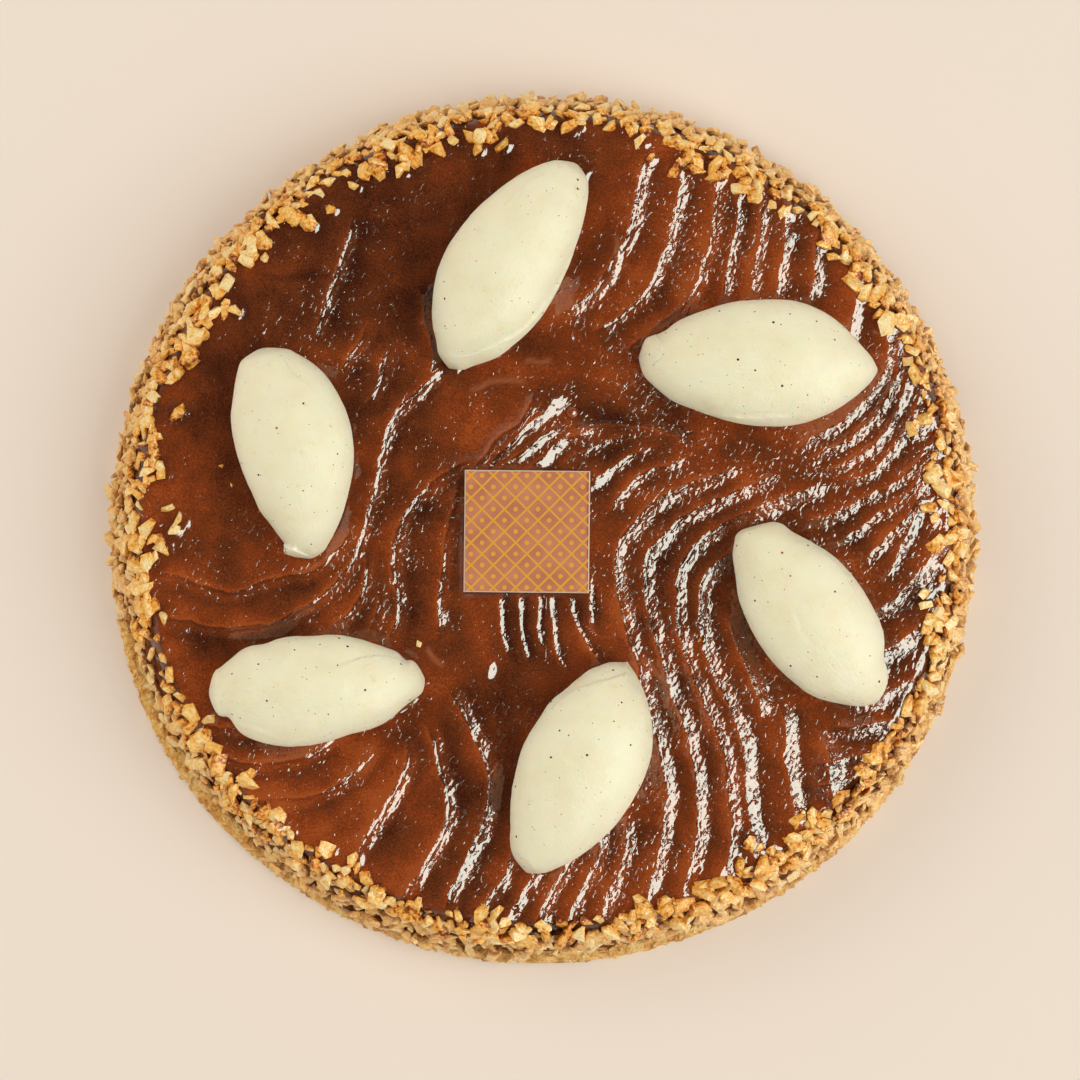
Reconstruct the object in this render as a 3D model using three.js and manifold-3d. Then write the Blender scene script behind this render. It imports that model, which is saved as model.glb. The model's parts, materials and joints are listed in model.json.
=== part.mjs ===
// Tarte tatin: a crumbly pastry disc under a thick layer of pressed, caramelised apple slices,
// with chopped roasted nuts stuck round its edge, six quenelles of vanilla cream and a square plaque.
//
// Millimetres, +Z up. X and Y are seen from above, with X to the right and Y away, and the tart
// stands on the pastry's flat underside at z = 0.

import * as THREE from 'three';
import { mergeVertices } from 'three/addons/utils/BufferGeometryUtils.js';
import { ConvexGeometry } from 'three/addons/geometries/ConvexGeometry.js';
import Module from 'manifold-3d';

const wasm = await Module();
wasm.setup();

// ---- Driving dimensions -------------------------------------------------------------------

const gap = 0.3; // left between separate pieces

const pastry = { x: -0.7, y: -1.6, radius: 118.6, height: 6 };

const apple = {
  x: 0.1,
  y: 1.5,
  floor: pastry.height + gap,
  level: 27.5, // the glaze's mean height
  topRadius: 109, // where the top turns over into the shoulder
};

const seatLift = 0.8; // quenelles and plaque rest this far above the glaze's mean height
const seat = apple.level + seatLift;

// Place, length, width and turn (degrees) in plan and height, then how its two ends taper (0.5 is
// round, 1 is a point), how far the middle bows sideways and how far the widest place is shifted.
const quenelles = [
  { x: -8.7, y: 71, length: 66.7, width: 31.7, turn: 58, height: 21,
    tail: 0.98, nose: 0.52, bow: 1.9, shift: 0.15 },
  { x: 58.5, y: 44.4, length: 65.8, width: 34.2, turn: -3, height: 22,
    tail: 0.61, nose: 0.97, bow: 0.6, shift: -0.13 },
  { x: -70.3, y: 20.2, length: 60.3, width: 31.8, turn: 103.5, height: 20.5,
    tail: 0.67, nose: 0.67, bow: -3, shift: -0.14 },
  { x: -62.2, y: -43.2, length: 60, width: 30, turn: 4, height: 20,
    tail: 0.77, nose: 0.47, bow: -1, shift: 0.2 },
  { x: 8.6, y: -65.7, length: 64.8, width: 34.5, turn: 64.5, height: 22,
    tail: 0.75, nose: 0.87, bow: -1.2, shift: -0.1 },
  { x: 71.8, y: -23.2, length: 62.9, width: 31, turn: -52.5, height: 21,
    tail: 0.78, nose: 0.71, bow: 0.1, shift: -0.03 },
];

const plaque = { x: -4.8, y: -1.1, width: 34.1, depth: 33.2, height: 1.8, turn: -0.6, bevel: 0.3 };

// The slices lie like shingles. Each fan of slices is drawn by a few guide edges, with a number of
// slices evenly spread between each two. The steep side of an edge is on the left of its path.
const sliceFans = [
  { name: 'north', pitch: 9, between: [1], guides: [
    [[26.5, 97], [22, 79], [13.8, 64.7], [2, 55.6]],
    [[47.4, 91], [44.7, 76.5], [38, 61.5], [20, 47]]] },
  { name: 'north east', pitch: 7, between: [1, 0, 0], guides: [
    [[52.8, 88.3], [51.5, 77], [49.5, 68], [46.5, 59]],
    [[65.2, 87], [66, 78], [64.6, 70], [62.5, 60.5]],
    [[74.2, 76], [74, 71], [73.4, 66], [72, 59]],
    [[85.5, 68], [84.8, 62], [84, 57], [83, 52]]] },
  { name: 'sweep', pitch: 9.5, between: [1, 0], guides: [
    [[55, 17.3], [34, 10], [20.5, -2], [19, -12], [22.4, -29], [30.6, -58], [32.9, -77], [29.5, -97]],
    [[78, 12], [50, 2], [38, -7], [35, -19], [37.2, -33], [47, -57], [50.6, -79], [48, -96]],
    [[66, 2], [53.3, -4.8], [44, -12], [41.6, -24], [44.7, -37], [53, -56], [54.7, -72], [56.5, -86]]] },
  { name: 'beside the plaque', pitch: 6.5, between: [1], guides: [
    [[25, 26.5], [14.5, 22], [3, 16.5]],
    [[42, 20], [24.7, 13], [15, 2]]] },
  { name: 'above the plaque', pitch: 8, between: [0, 0, 0], guides: [
    [[-2.5, 39], [-4.7, 31], [-11.5, 26], [-19, 17.5]],
    [[2.5, 34.5], [-0.2, 30.8], [-6.5, 25.8], [-14.5, 18]],
    [[8, 28.5], [1, 26.3], [-4, 22.6], [-10, 17.5]],
    [[16, 26.5], [8, 25], [3, 22.7], [-3, 17.5]]] },
  { name: 'arch', pitch: 6, between: [], guides: [
    [[5, 26], [15, 27.8], [26, 28], [35, 26], [40, 20.5]]] },
  { name: 'below the plaque', pitch: 5, between: [4], guides: [
    [[-12, -17], [-12, -28], [-9.5, -36]],
    [[13, -14], [12.5, -28], [16, -37]]] },
  { name: 'left of the plaque', pitch: 9, between: [0], guides: [
    [[-18, 20.5], [-31.5, 11.5], [-39, 3], [-41.5, -9], [-39.5, -21], [-43, -32.5]],
    [[-22, 16], [-24, 8], [-28, -7], [-29.3, -20], [-28.5, -31]]] },
  { name: 'west', pitch: 9, between: [0, 0, 0], guides: [
    [[-26, 44], [-39.5, 33], [-45, 22], [-48.5, 3], [-54, -11], [-66, -21.5], [-82, -27], [-99, -25]],
    [[-51, 2], [-55, -4], [-63, -11], [-77, -14.5], [-86, -17.5], [-100, -13]],
    [[-48.7, -6], [-48.5, -14], [-52, -21], [-60, -28]],
    [[-45.4, -15], [-45, -22], [-49.5, -30.5]]] },
  { name: 'north west', pitch: 9, between: [0, 0, 0], guides: [
    [[-53, 80], [-57, 68], [-61, 59], [-63, 48]],
    [[-47.5, 57], [-50.5, 51], [-54, 46], [-58, 40]],
    [[-42, 52], [-44.4, 43], [-46.5, 37], [-51, 31]],
    [[-35, 68], [-33, 58], [-31, 48], [-32, 39]]] },
  { name: 'south west lobes', pitch: 9, between: [0, 0], guides: [
    [[-62, -47], [-74, -52.5], [-86, -54.5], [-99, -53]],
    [[-55, -56], [-66, -62], [-79, -64], [-92, -62]],
    [[-43.5, -56.5], [-51.5, -66.5], [-64, -73], [-83, -74.5]]] },
  { name: 'south west', pitch: 10, between: [0, 0], guides: [
    [[-38.3, -56], [-38, -64], [-42, -73], [-49.5, -85]],
    [[-33.5, -51], [-28.5, -66], [-27.2, -80], [-40, -101]],
    [[-28, -42], [-18.5, -60], [-15.3, -76], [-26, -101]]] },
  { name: 'south', pitch: 8, between: [3], guides: [
    [[-2, -70], [-8, -85], [-12, -96], [-18, -104]],
    [[23, -76], [22, -86], [19.5, -95], [14, -107]]] },
  { name: 'south east', pitch: 9, between: [0, 0], guides: [
    [[49, -21], [52.9, -34], [58, -46], [59.5, -55]],
    [[63.5, -46], [65.8, -55], [66, -64], [68, -77]],
    [[74, -53], [76.5, -60], [77.5, -66], [79, -73]]] },
  { name: 'east', pitch: 6, between: [2, 0, 2], guides: [
    [[93, 55], [92.5, 44], [85, 33], [66, 19.5]],
    [[102, 35], [97.5, 25.5], [88, 15], [78, 12.5]],
    [[104, 22], [97, 14], [85, 7], [70, 0]],
    [[101, 5], [98, -2], [95.5, -9], [91, -16]]] },
  { name: 'lower east', pitch: 8.5, between: [1, 0, 0, 0], guides: [
    [[106, -7], [99.5, -16], [92, -21.5], [85, -24]],
    [[104, -39], [98, -43], [92, -46], [87, -47]],
    [[103, -47.5], [96, -52], [90, -54], [83, -54.5]],
    [[95, -57.5], [89, -60.8], [83, -62.7], [77.5, -63.5]],
    [[90, -65], [85, -67.5], [80, -69], [76, -70]]] },
];

const riseForPitch = 0.14; // an edge's height over the pitch of its fan
const leeForPitch = 0.46; // the width of its steep side over the pitch
const climbPower = 1.4; // how much the long gentle side curves up towards its edge
const edgeFade = 7; // an edge dies out over this length at both ends

// How much of its height an edge keeps: less on the left, where the slices were pressed flatter,
// and more or less in round places, each fading out over its reach.
const keptHeight = { left: 0.6, right: 0.88, from: -35, to: 8 };
const pressedPlaces = [
  { x: 40, y: 75, reach: 35, more: -0.24 },
  { x: 15, y: -95, reach: 24, more: -0.2 },
  { x: -36, y: 5, reach: 20, more: -0.24 },
  { x: -4, y: 27, reach: 13, more: 0.35 },
  { x: 92, y: 20, reach: 30, more: 0.1 },
];

// Slice tips that stand up a little.
const tips = [
  { x: 0.9, y: 34.8, reach: 3.6, rise: 1.5 },
  { x: -34.5, y: -33.5, reach: 2.5, rise: 0.7 },
];

// Valleys pressed between two bundles of slices.
const creases = [
  { depth: 0.7, halfWidth: 5, path: [[5, 34], [12, 31.5], [20, 30], [31, 30]] },
  { depth: 0.5, halfWidth: 2, path: [[-54, 69.5], [-66, 68], [-79, 68]] },
];

// Chopped nuts: the large ones, which are as wide as this.
const nutWidth = { least: 4.2, most: 5.8 };

// Nuts that stand out from the foot of the side, by bearing (degrees) and how far out they reach.
const proudNuts = [
  [0, 120.3], [27, 118.6], [52, 120.4], [86, 121], [92, 120], [108, 120], [159, 120.5], [175, 121.9],
  [246, 120.8], [262, 121], [312, 120.4], [324, 121.5], [336, 121.6], [343, 121.5], [357, 120.6],
];

// Nuts that lie further in than the border, by bearing (degrees) and distance from the middle.
const strayNuts = [
  [3, 104.5], [9, 106], [15, 103], [43, 108], [67, 105.5], [70, 103.5], [76, 108], [98, 107], [100, 105],
  [109, 106], [112, 105], [128, 107], [136, 106], [145, 103], [151, 107], [157, 108], [172, 105],
  [179, 99.5], [183, 104], [191, 108], [229, 108], [236, 106], [240, 104.5], [243, 107], [283, 108],
  [296, 107.5], [303, 102.5], [311, 105], [313, 107], [346, 107.5], [350, 104.5], [357, 106],
];

// ---- Helpers ------------------------------------------------------------------------------

// Seeded random numbers from 0 to 1, the same on every run.
function seededRandom(seed) {
  let state = seed >>> 0;
  return () => {
    state = (state + 0x6d2b79f5) >>> 0;
    let mixed = Math.imul(state ^ (state >>> 15), state | 1);
    mixed ^= mixed + Math.imul(mixed ^ (mixed >>> 7), mixed | 61);
    return ((mixed ^ (mixed >>> 14)) >>> 0) / 4294967296;
  };
}

const between = (random, low, high) => low + (high - low) * random();

function smoothStep(low, high, value) {
  const part = Math.min(1, Math.max(0, (value - low) / (high - low)));
  return part * part * (3 - 2 * part);
}

// Points evenly spaced by parameter on a smooth curve through the given ones.
function smoothPath(points, stepsPerPoint = 4) {
  const curve = new THREE.CatmullRomCurve3(points.map(([x, y]) => new THREE.Vector3(x, y, 0)));
  return curve.getPoints((points.length - 1) * stepsPerPoint).map((p) => [p.x, p.y]);
}

// A path ready for distance questions: its points, the length up to each and a box round it.
function measuredPath(points, reach) {
  const path = smoothPath(points);
  const lengths = [0];
  for (let i = 1; i < path.length; i++) {
    lengths.push(lengths[i - 1] + Math.hypot(path[i][0] - path[i - 1][0], path[i][1] - path[i - 1][1]));
  }
  const box = new THREE.Box2().setFromPoints(path.map(([x, y]) => new THREE.Vector2(x, y)));
  return { path, lengths, total: lengths[lengths.length - 1], box: box.expandByScalar(reach) };
}

// The distance from a point to a path, positive on the path's left, and how far along the path its
// nearest place is.
function nearestOnPath(measured, x, y) {
  const { path, lengths } = measured;
  let best = { distance: Infinity, along: 0 };
  for (let i = 0; i < path.length - 1; i++) {
    const [ax, ay] = path[i];
    const dx = path[i + 1][0] - ax;
    const dy = path[i + 1][1] - ay;
    const part = Math.min(1, Math.max(0, ((x - ax) * dx + (y - ay) * dy) / (dx * dx + dy * dy)));
    const away = Math.hypot(x - ax - part * dx, y - ay - part * dy);
    if (away < Math.abs(best.distance)) {
      const left = dx * (y - ay) - dy * (x - ax) >= 0;
      best = { distance: left ? away : -away, along: lengths[i] + part * (lengths[i + 1] - lengths[i]) };
    }
  }
  return best;
}

// 1 in the middle of a round place, fading to 0 over about its reach.
function roundPlace({ x: middleX, y: middleY, reach }, x, y) {
  return Math.exp(-((x - middleX) ** 2 + (y - middleY) ** 2) / reach ** 2);
}

// How far a round outline stands out at an angle: waves by height, number round it and start.
function waviness(waves, angle) {
  return waves.reduce((sum, { height, count, start }) => sum + height * Math.sin(count * angle + start), 0);
}

// A geometry from flat lists of coordinates and triangles.
function meshFrom(positions, triangles) {
  const geometry = new THREE.BufferGeometry();
  geometry.setAttribute('position', new THREE.Float32BufferAttribute(positions, 3));
  geometry.setIndex(triangles);
  return geometry;
}

function solidFrom(geometry) {
  const bare = geometry.clone();
  bare.deleteAttribute('normal');
  bare.deleteAttribute('uv');
  const merged = mergeVertices(bare, 1e-4);
  return new wasm.Manifold(new wasm.Mesh({
    numProp: 3,
    vertProperties: new Float32Array(merged.attributes.position.array),
    triVerts: new Uint32Array(merged.index.array),
  }));
}

function geometryFrom(solid) {
  const { vertProperties, triVerts } = solid.getMesh();
  return meshFrom(Array.from(vertProperties), Array.from(triVerts));
}

// Two triangles for each side of a band between two rings of equal length, the second outside or above.
function bandTriangles(lower, upper) {
  const triangles = [];
  lower.forEach((corner, i) => {
    const next = (i + 1) % lower.length;
    triangles.push(corner, lower[next], upper[next], corner, upper[next], upper[i]);
  });
  return triangles;
}

// ---- Apple slices: the relief of the top ------------------------------------------------------

function blendGuides(a, b, part) {
  return a.map(([x, y], i) => [x + (b[i][0] - x) * part, y + (b[i][1] - y) * part]);
}

const slices = sliceFans.flatMap(({ pitch, between: counts, guides }) => guides.flatMap((guide, i) => {
  const count = i < guides.length - 1 ? counts[i] : 0;
  const edges = [guide];
  for (let k = 1; k <= count; k++) edges.push(blendGuides(guide, guides[i + 1], k / (count + 1)));
  return edges.map((edge) => ({ pitch, ...measuredPath(edge, pitch) }));
}));

const valleys = creases.map((crease) => ({ ...crease, ...measuredPath(crease.path, crease.halfWidth) }));

// One slice's edge across its path: a long slope up to the edge, then a short steep side.
function edgeShape(distance, pitch) {
  if (distance < 0) return Math.max(0, 1 + distance / pitch) ** climbPower;
  return 1 - smoothStep(0, leeForPitch * pitch, distance);
}

function endFade(along, total) {
  return smoothStep(0, edgeFade, along) * smoothStep(0, edgeFade, total - along);
}

function sliceRelief(x, y) {
  const spot = new THREE.Vector2(x, y);
  let relief = 0;
  for (const slice of slices) {
    if (!slice.box.containsPoint(spot)) continue;
    const { distance, along } = nearestOnPath(slice, x, y);
    relief += riseForPitch * slice.pitch * edgeShape(distance, slice.pitch) * endFade(along, slice.total);
  }
  for (const valley of valleys) {
    if (!valley.box.containsPoint(spot)) continue;
    const { distance, along } = nearestOnPath(valley, x, y);
    const across = 1 - smoothStep(0, valley.halfWidth, Math.abs(distance));
    relief -= valley.depth * across * endFade(along, valley.total);
  }
  return relief;
}

function pressed(x, y) {
  const { left, right, from, to } = keptHeight;
  const kept = left + (right - left) * smoothStep(from, to, x);
  return pressedPlaces.reduce((sum, place) => sum + place.more * roundPlace(place, x, y), kept);
}

// The broad unevenness of the pressed layer: humps and hollows, and slow waves across them. A wave's
// length here is that of one radian.
const humps = { height: 0.35, lengthX: 19, lengthY: 23, startX: 0.7, startY: 1.9 };
const slantWaves = { height: 0.25, length: 13 };

function unevenness(x, y) {
  const humpX = Math.sin(x / humps.lengthX + humps.startX);
  const humpY = Math.sin(y / humps.lengthY + humps.startY);
  return humps.height * humpX * humpY + slantWaves.height * Math.sin((x + y) / slantWaves.length);
}

// ---- Seats under the quenelles and the plaque ---------------------------------------------

const bluntEnd = 0.92; // a seat's ends are as wide as its outline is here, along from the middle
const seatFade = { from: 0.92, to: 1.08 }; // where a seat fades out, 1 being the outline on it

// How far out in a quenelle's outline a point lies: 0 on its long axis, about 1 on the outline.
function outlineReach(quenelle, x, y) {
  const turn = THREE.MathUtils.degToRad(quenelle.turn);
  const dx = x - quenelle.x;
  const dy = y - quenelle.y;
  const along = (dx * Math.cos(turn) + dy * Math.sin(turn)) / (quenelle.length / 2);
  const { half, middle } = crossWidth(quenelle, THREE.MathUtils.clamp(along, -bluntEnd, bluntEnd));
  const across = -dx * Math.sin(turn) + dy * Math.cos(turn);
  return Math.max(Math.abs(across - middle) / half, bluntEnd * Math.abs(along));
}

// A quenelle's half width and its middle line's offset at a place along it, from -1 to 1.
function crossWidth(quenelle, along) {
  const body = 1 - along * along;
  const shifted = Math.min(0.999, Math.max(-0.999, along + quenelle.shift * body));
  const taper = shifted < 0 ? quenelle.tail : quenelle.nose;
  return { half: (quenelle.width / 2) * (1 - shifted * shifted) ** taper, middle: quenelle.bow * body };
}

function plaqueReach(x, y) {
  return Math.max(Math.abs(x - plaque.x) / (plaque.width / 2), Math.abs(y - plaque.y) / (plaque.depth / 2));
}

// 1 where something rests on the glaze, 0 where the glaze is free.
function seatWeight(x, y) {
  const reach = Math.min(plaqueReach(x, y), ...quenelles.map((quenelle) => outlineReach(quenelle, x, y)));
  return 1 - smoothStep(seatFade.from, seatFade.to, reach);
}

const meanRelief = 0.5; // the slices' mean height, taken off so that the glaze's mean stays level
// Towards the rim the slices flatten and the top falls. Places are over the top's radius.
const rimFade = { from: 0.9, to: 1, keeps: 0.5 };
const rimFall = { from: 0.93, to: 1.06, drop: 1.4 };

// The glazed top: level in the large, with shingled edges, falling away towards the rim.
function topHeight(x, y) {
  const outwards = Math.hypot(x - apple.x, y - apple.y) / apple.topRadius;
  const fallen = rimFall.drop * smoothStep(rimFall.from, rimFall.to, outwards);
  const kept = pressed(x, y) * (1 - (1 - rimFade.keeps) * smoothStep(rimFade.from, rimFade.to, outwards));
  const raised = tips.reduce((sum, tip) => sum + tip.rise * roundPlace(tip, x, y), 0);
  const relief = sliceRelief(x, y) * kept + raised + unevenness(x, y) - meanRelief;
  const weight = seatWeight(x, y);
  return apple.level + relief * (1 - weight) + seatLift * weight - fallen;
}

// ---- Apple layer ------------------------------------------------------------------------------

const rowTurn = 3; // degrees of the rim between two rows of the top
const rowSample = 0.5; // a row's height is worked out this often
const rowTolerance = 0.2; // and a point is kept where the row would otherwise miss its height by this
const longestStep = 10;

// Keeps the points of a row that its height needs, and drops those that lie on a straight run.
function thinRow(row) {
  const first = row[0];
  const last = row[row.length - 1];
  let worst = -1;
  let worstMiss = rowTolerance;
  for (let i = 1; i < row.length - 1; i++) {
    const part = (row[i][0] - first[0]) / (last[0] - first[0]);
    const miss = Math.abs(row[i][2] - (first[2] + (last[2] - first[2]) * part));
    if (miss > worstMiss) {
      worst = i;
      worstMiss = miss;
    }
  }
  if (worst < 0 && last[0] - first[0] > longestStep) worst = Math.round(row.length / 2);
  if (worst <= 0 || worst >= row.length - 1) return [first, last];
  return [...thinRow(row.slice(0, worst + 1)).slice(0, -1), ...thinRow(row.slice(worst))];
}

// Triangles between two rows of points that both run from left to right.
function rowTriangles(lower, upper, positions) {
  const triangles = [];
  let i = 0;
  let j = 0;
  const xOf = (corner) => positions[3 * corner];
  while (i < lower.length - 1 || j < upper.length - 1) {
    const lowerNext = i < lower.length - 1 ? xOf(lower[i + 1]) : Infinity;
    const upperNext = j < upper.length - 1 ? xOf(upper[j + 1]) : Infinity;
    if (lowerNext <= upperNext) {
      triangles.push(lower[i], lower[i + 1], upper[j]);
      i += 1;
    } else {
      triangles.push(lower[i], upper[j + 1], upper[j]);
      j += 1;
    }
  }
  return triangles;
}

// The shoulder and side, from the top's rim down to the foot: radius and height above the layer's
// floor. The side leans out, and its foot lies a little off the top's middle.
const appleSide = [
  { radius: apple.topRadius, height: 20.4, x: apple.x, y: apple.y },
  { radius: 111.6, height: 17.8, x: apple.x, y: apple.y },
  { radius: 113.9, height: 12.5, x: 0, y: 0.9 },
  { radius: 116, height: 1.2, x: -0.3, y: -0.3 },
  { radius: 115.2, height: 0, x: -0.3, y: -0.3 },
];

const sideWaves = [{ height: 0.3, count: 5, start: 0 }, { height: 0.2, count: 11, start: 1 }];

// The side's place at a height between its rim and its foot: radius and middle.
function sideAt(height) {
  const i = appleSide.findIndex((lower) => lower.height <= height);
  const upper = appleSide[i - 1];
  const lower = appleSide[i];
  const part = (upper.height - height) / (upper.height - lower.height);
  return {
    radius: THREE.MathUtils.lerp(upper.radius, lower.radius, part),
    x: THREE.MathUtils.lerp(upper.x, lower.x, part),
    y: THREE.MathUtils.lerp(upper.y, lower.y, part),
  };
}

function appleBody() {
  const positions = [];
  const triangles = [];
  const addCorner = (x, y, z) => positions.push(x, y, z) / 3 - 1;
  const rows = [];
  for (let turn = -90; turn <= 90; turn += rowTurn) {
    const angle = THREE.MathUtils.degToRad(turn);
    const y = apple.y + apple.topRadius * Math.sin(angle);
    const reach = apple.topRadius * Math.cos(angle);
    const steps = Math.max(1, Math.round((2 * reach) / rowSample));
    if (Math.abs(turn) === 90) {
      rows.push([addCorner(apple.x, y, topHeight(apple.x, y))]);
      continue;
    }
    const row = [];
    for (let i = 0; i <= steps; i++) {
      const x = apple.x - reach + (2 * reach * i) / steps;
      row.push([x, y, topHeight(x, y)]);
    }
    rows.push(thinRow(row).map((corner) => addCorner(...corner)));
  }
  for (let i = 0; i < rows.length - 1; i++) {
    triangles.push(...rowTriangles(rows[i], rows[i + 1], positions));
  }
  const rightEnds = rows.map((row) => row[row.length - 1]);
  const leftEnds = rows.slice(1, -1).map((row) => row[0]);
  let ring = [...rightEnds, ...leftEnds.reverse()];
  for (const { radius, height, x, y } of appleSide.slice(1)) {
    const next = ring.map((corner, i) => {
      const angle = (2 * Math.PI * i) / ring.length - Math.PI / 2;
      const out = radius + waviness(sideWaves, angle);
      return addCorner(x + out * Math.cos(angle), y + out * Math.sin(angle), apple.floor + height);
    });
    triangles.push(...bandTriangles(next, ring));
    ring = next;
  }
  const middle = addCorner(apple.x, apple.y, apple.floor);
  ring.forEach((corner, i) => triangles.push(middle, ring[(i + 1) % ring.length], corner));
  return meshFrom(positions, triangles);
}

// ---- Chopped nuts -------------------------------------------------------------------------------

const chipCorners = 8;
const chipDepth = [0.7, 0.95]; // least and most, over its width
const chipThickness = [0.55, 0.8];
const cornerReach = [0.85, 1.15]; // how far out a corner lies, over half the size
const cornerTurn = 2.4; // radians from one corner to the next, which spreads them evenly
const cornerStray = 0.4; // and how far each strays from there

// An angular chip: the hull of a few points spread round a lopsided ball, turned as given.
function nutChip(random, { width, x, y, z, spin }) {
  const corners = [];
  const size = new THREE.Vector3(1, between(random, ...chipDepth), between(random, ...chipThickness));
  for (let i = 0; i < chipCorners; i++) {
    const up = 1 - (2 * i + 1) / chipCorners;
    const turn = i * cornerTurn + between(random, -cornerStray, cornerStray);
    const flat = Math.sqrt(1 - up * up);
    const corner = new THREE.Vector3(flat * Math.cos(turn), flat * Math.sin(turn), up);
    corner.multiply(size).multiplyScalar((width / 2) * between(random, ...cornerReach)).applyEuler(spin);
    corners.push(corner);
  }
  return new ConvexGeometry(corners).translate(x, y, z);
}

// Where the border is thin or bare at its foot, so that the pastry shows: bearings in degrees.
const bareFoot = [{ from: 193, to: 226 }, { from: 268, to: 292 }];
const thinBorder = [{ from: 194, to: 204 }, { from: 337, to: 342 }];

const isWithin = (spans, bearing) => spans.some(({ from, to }) => bearing > from && bearing < to);

// The rows of the border, from the foot of the side up to the top's edge: height above the layer's
// floor, how far the nuts stray up or down from it, and how many there are.
const nutRows = [
  { height: 4.6, stray: 1, count: 36 },
  { height: 11.2, stray: 1.6, count: 42 },
  { height: 16.8, stray: 0.8, count: 50 },
  { height: 19.8, stray: 0.4, count: 42 },
];

const anyTurn = 6; // radians, nearly a full turn
const ownShare = [0.15, 0.85]; // where a nut may lie in its share of a row
const proudHeight = [3, 5]; // how high a nut that stands out lies on the side
const proudRoot = 2; // and how deep it reaches into the side
const strayTilt = 0.5; // how far a stray leans, in radians
const strayLift = 0.4; // and how high its middle lies above the glaze

const freeSpin = (random) => new THREE.Euler(
  between(random, 0, anyTurn),
  between(random, 0, anyTurn),
  between(random, 0, anyTurn),
);

function nutPlaces(random) {
  const places = [];
  nutRows.forEach(({ height, stray, count }, row) => {
    for (let i = 0; i < count; i++) {
      const bearing = (360 * (i + between(random, ...ownShare))) / count;
      const angle = THREE.MathUtils.degToRad(bearing);
      const width = between(random, nutWidth.least, nutWidth.most);
      const up = height + between(random, -stray, stray);
      const spin = freeSpin(random);
      const isBare = isWithin(thinBorder, bearing) || (row === 0 && isWithin(bareFoot, bearing));
      if (isBare) continue;
      const { radius, x, y } = sideAt(up);
      places.push({
        x: x + radius * Math.cos(angle),
        y: y + radius * Math.sin(angle),
        z: apple.floor + up,
        width,
        spin,
      });
    }
  });
  for (const [bearing, reach] of proudNuts) {
    const angle = THREE.MathUtils.degToRad(bearing);
    const up = between(random, ...proudHeight);
    const inner = sideAt(up).radius - proudRoot;
    const radius = (reach + inner) / 2;
    const spin = new THREE.Euler(between(random, 0, anyTurn), 0, angle, 'ZYX');
    places.push({
      x: radius * Math.cos(angle),
      y: radius * Math.sin(angle),
      z: apple.floor + up,
      width: reach - inner,
      spin,
    });
  }
  for (const [bearing, distance] of strayNuts) {
    const angle = THREE.MathUtils.degToRad(bearing);
    const x = distance * Math.cos(angle);
    const y = distance * Math.sin(angle);
    const spin = new THREE.Euler(
      between(random, -strayTilt, strayTilt),
      between(random, -strayTilt, strayTilt),
      between(random, 0, anyTurn),
    );
    places.push({ x, y, z: topHeight(x, y) + strayLift, width: nutWidth.least, spin });
  }
  return places;
}

function appleLayer() {
  const random = seededRandom(7);
  const chips = nutPlaces(random).map((place) => solidFrom(nutChip(random, place)));
  return geometryFrom(wasm.Manifold.union([solidFrom(appleBody()), ...chips]));
}

// ---- Pastry base --------------------------------------------------------------------------------

const pastrySteps = 96;
const pastryWaves = [{ height: 0.25, count: 7, start: 1 }, { height: -0.6, count: 3, start: 0 }];
const crumb = 0.45; // how far the broken edge stands in and out
const crumbLift = 0.3; // and how far it goes up and down

// The edge from the underside up: how far in from the radius, and height.
const pastryEdge = [
  { inset: 1.4, height: 0, rough: 0 },
  { inset: 0.2, height: 1.2, rough: 0.7 },
  { inset: 0, height: 3.2, rough: 1 },
  { inset: 0.8, height: 4.9, rough: 1 },
  { inset: 2.6, height: pastry.height, rough: 0.4 },
];

function pastryBase() {
  const random = seededRandom(3);
  const positions = [];
  const triangles = [];
  const addCorner = (x, y, z) => positions.push(x, y, z) / 3 - 1;
  let ring = null;
  const underside = addCorner(pastry.x, pastry.y, 0);
  for (const { inset, height, rough } of pastryEdge) {
    const next = [];
    for (let i = 0; i < pastrySteps; i++) {
      const angle = (2 * Math.PI * i) / pastrySteps;
      const broken = rough * between(random, -crumb, crumb);
      const radius = pastry.radius - inset + waviness(pastryWaves, angle) + broken;
      const lift = height > 0 && height < pastry.height ? between(random, -crumbLift, crumbLift) : 0;
      next.push(addCorner(
        pastry.x + radius * Math.cos(angle),
        pastry.y + radius * Math.sin(angle),
        height + lift,
      ));
    }
    if (ring) triangles.push(...bandTriangles(ring, next));
    else next.forEach((corner, i) => triangles.push(underside, next[(i + 1) % next.length], corner));
    ring = next;
  }
  const top = addCorner(pastry.x, pastry.y, pastry.height);
  ring.forEach((corner, i) => triangles.push(top, corner, ring[(i + 1) % ring.length]));
  return meshFrom(positions, triangles);
}

// ---- Quenelles ------------------------------------------------------------------------------------

const stations = 13;
const girth = 10; // corners round a cross section
const footDegrees = 41; // below level, where the rounded side meets the flat foot
const footAngle = THREE.MathUtils.degToRad(footDegrees);
const endStation = 0.97; // the last sections stop this far from the middle, as a share of a quarter turn
const backPower = 0.42; // how the back sinks towards the ends: 0.5 would be an ellipse
const bellyShare = 0.42; // the widest place's height over the whole height

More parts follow.
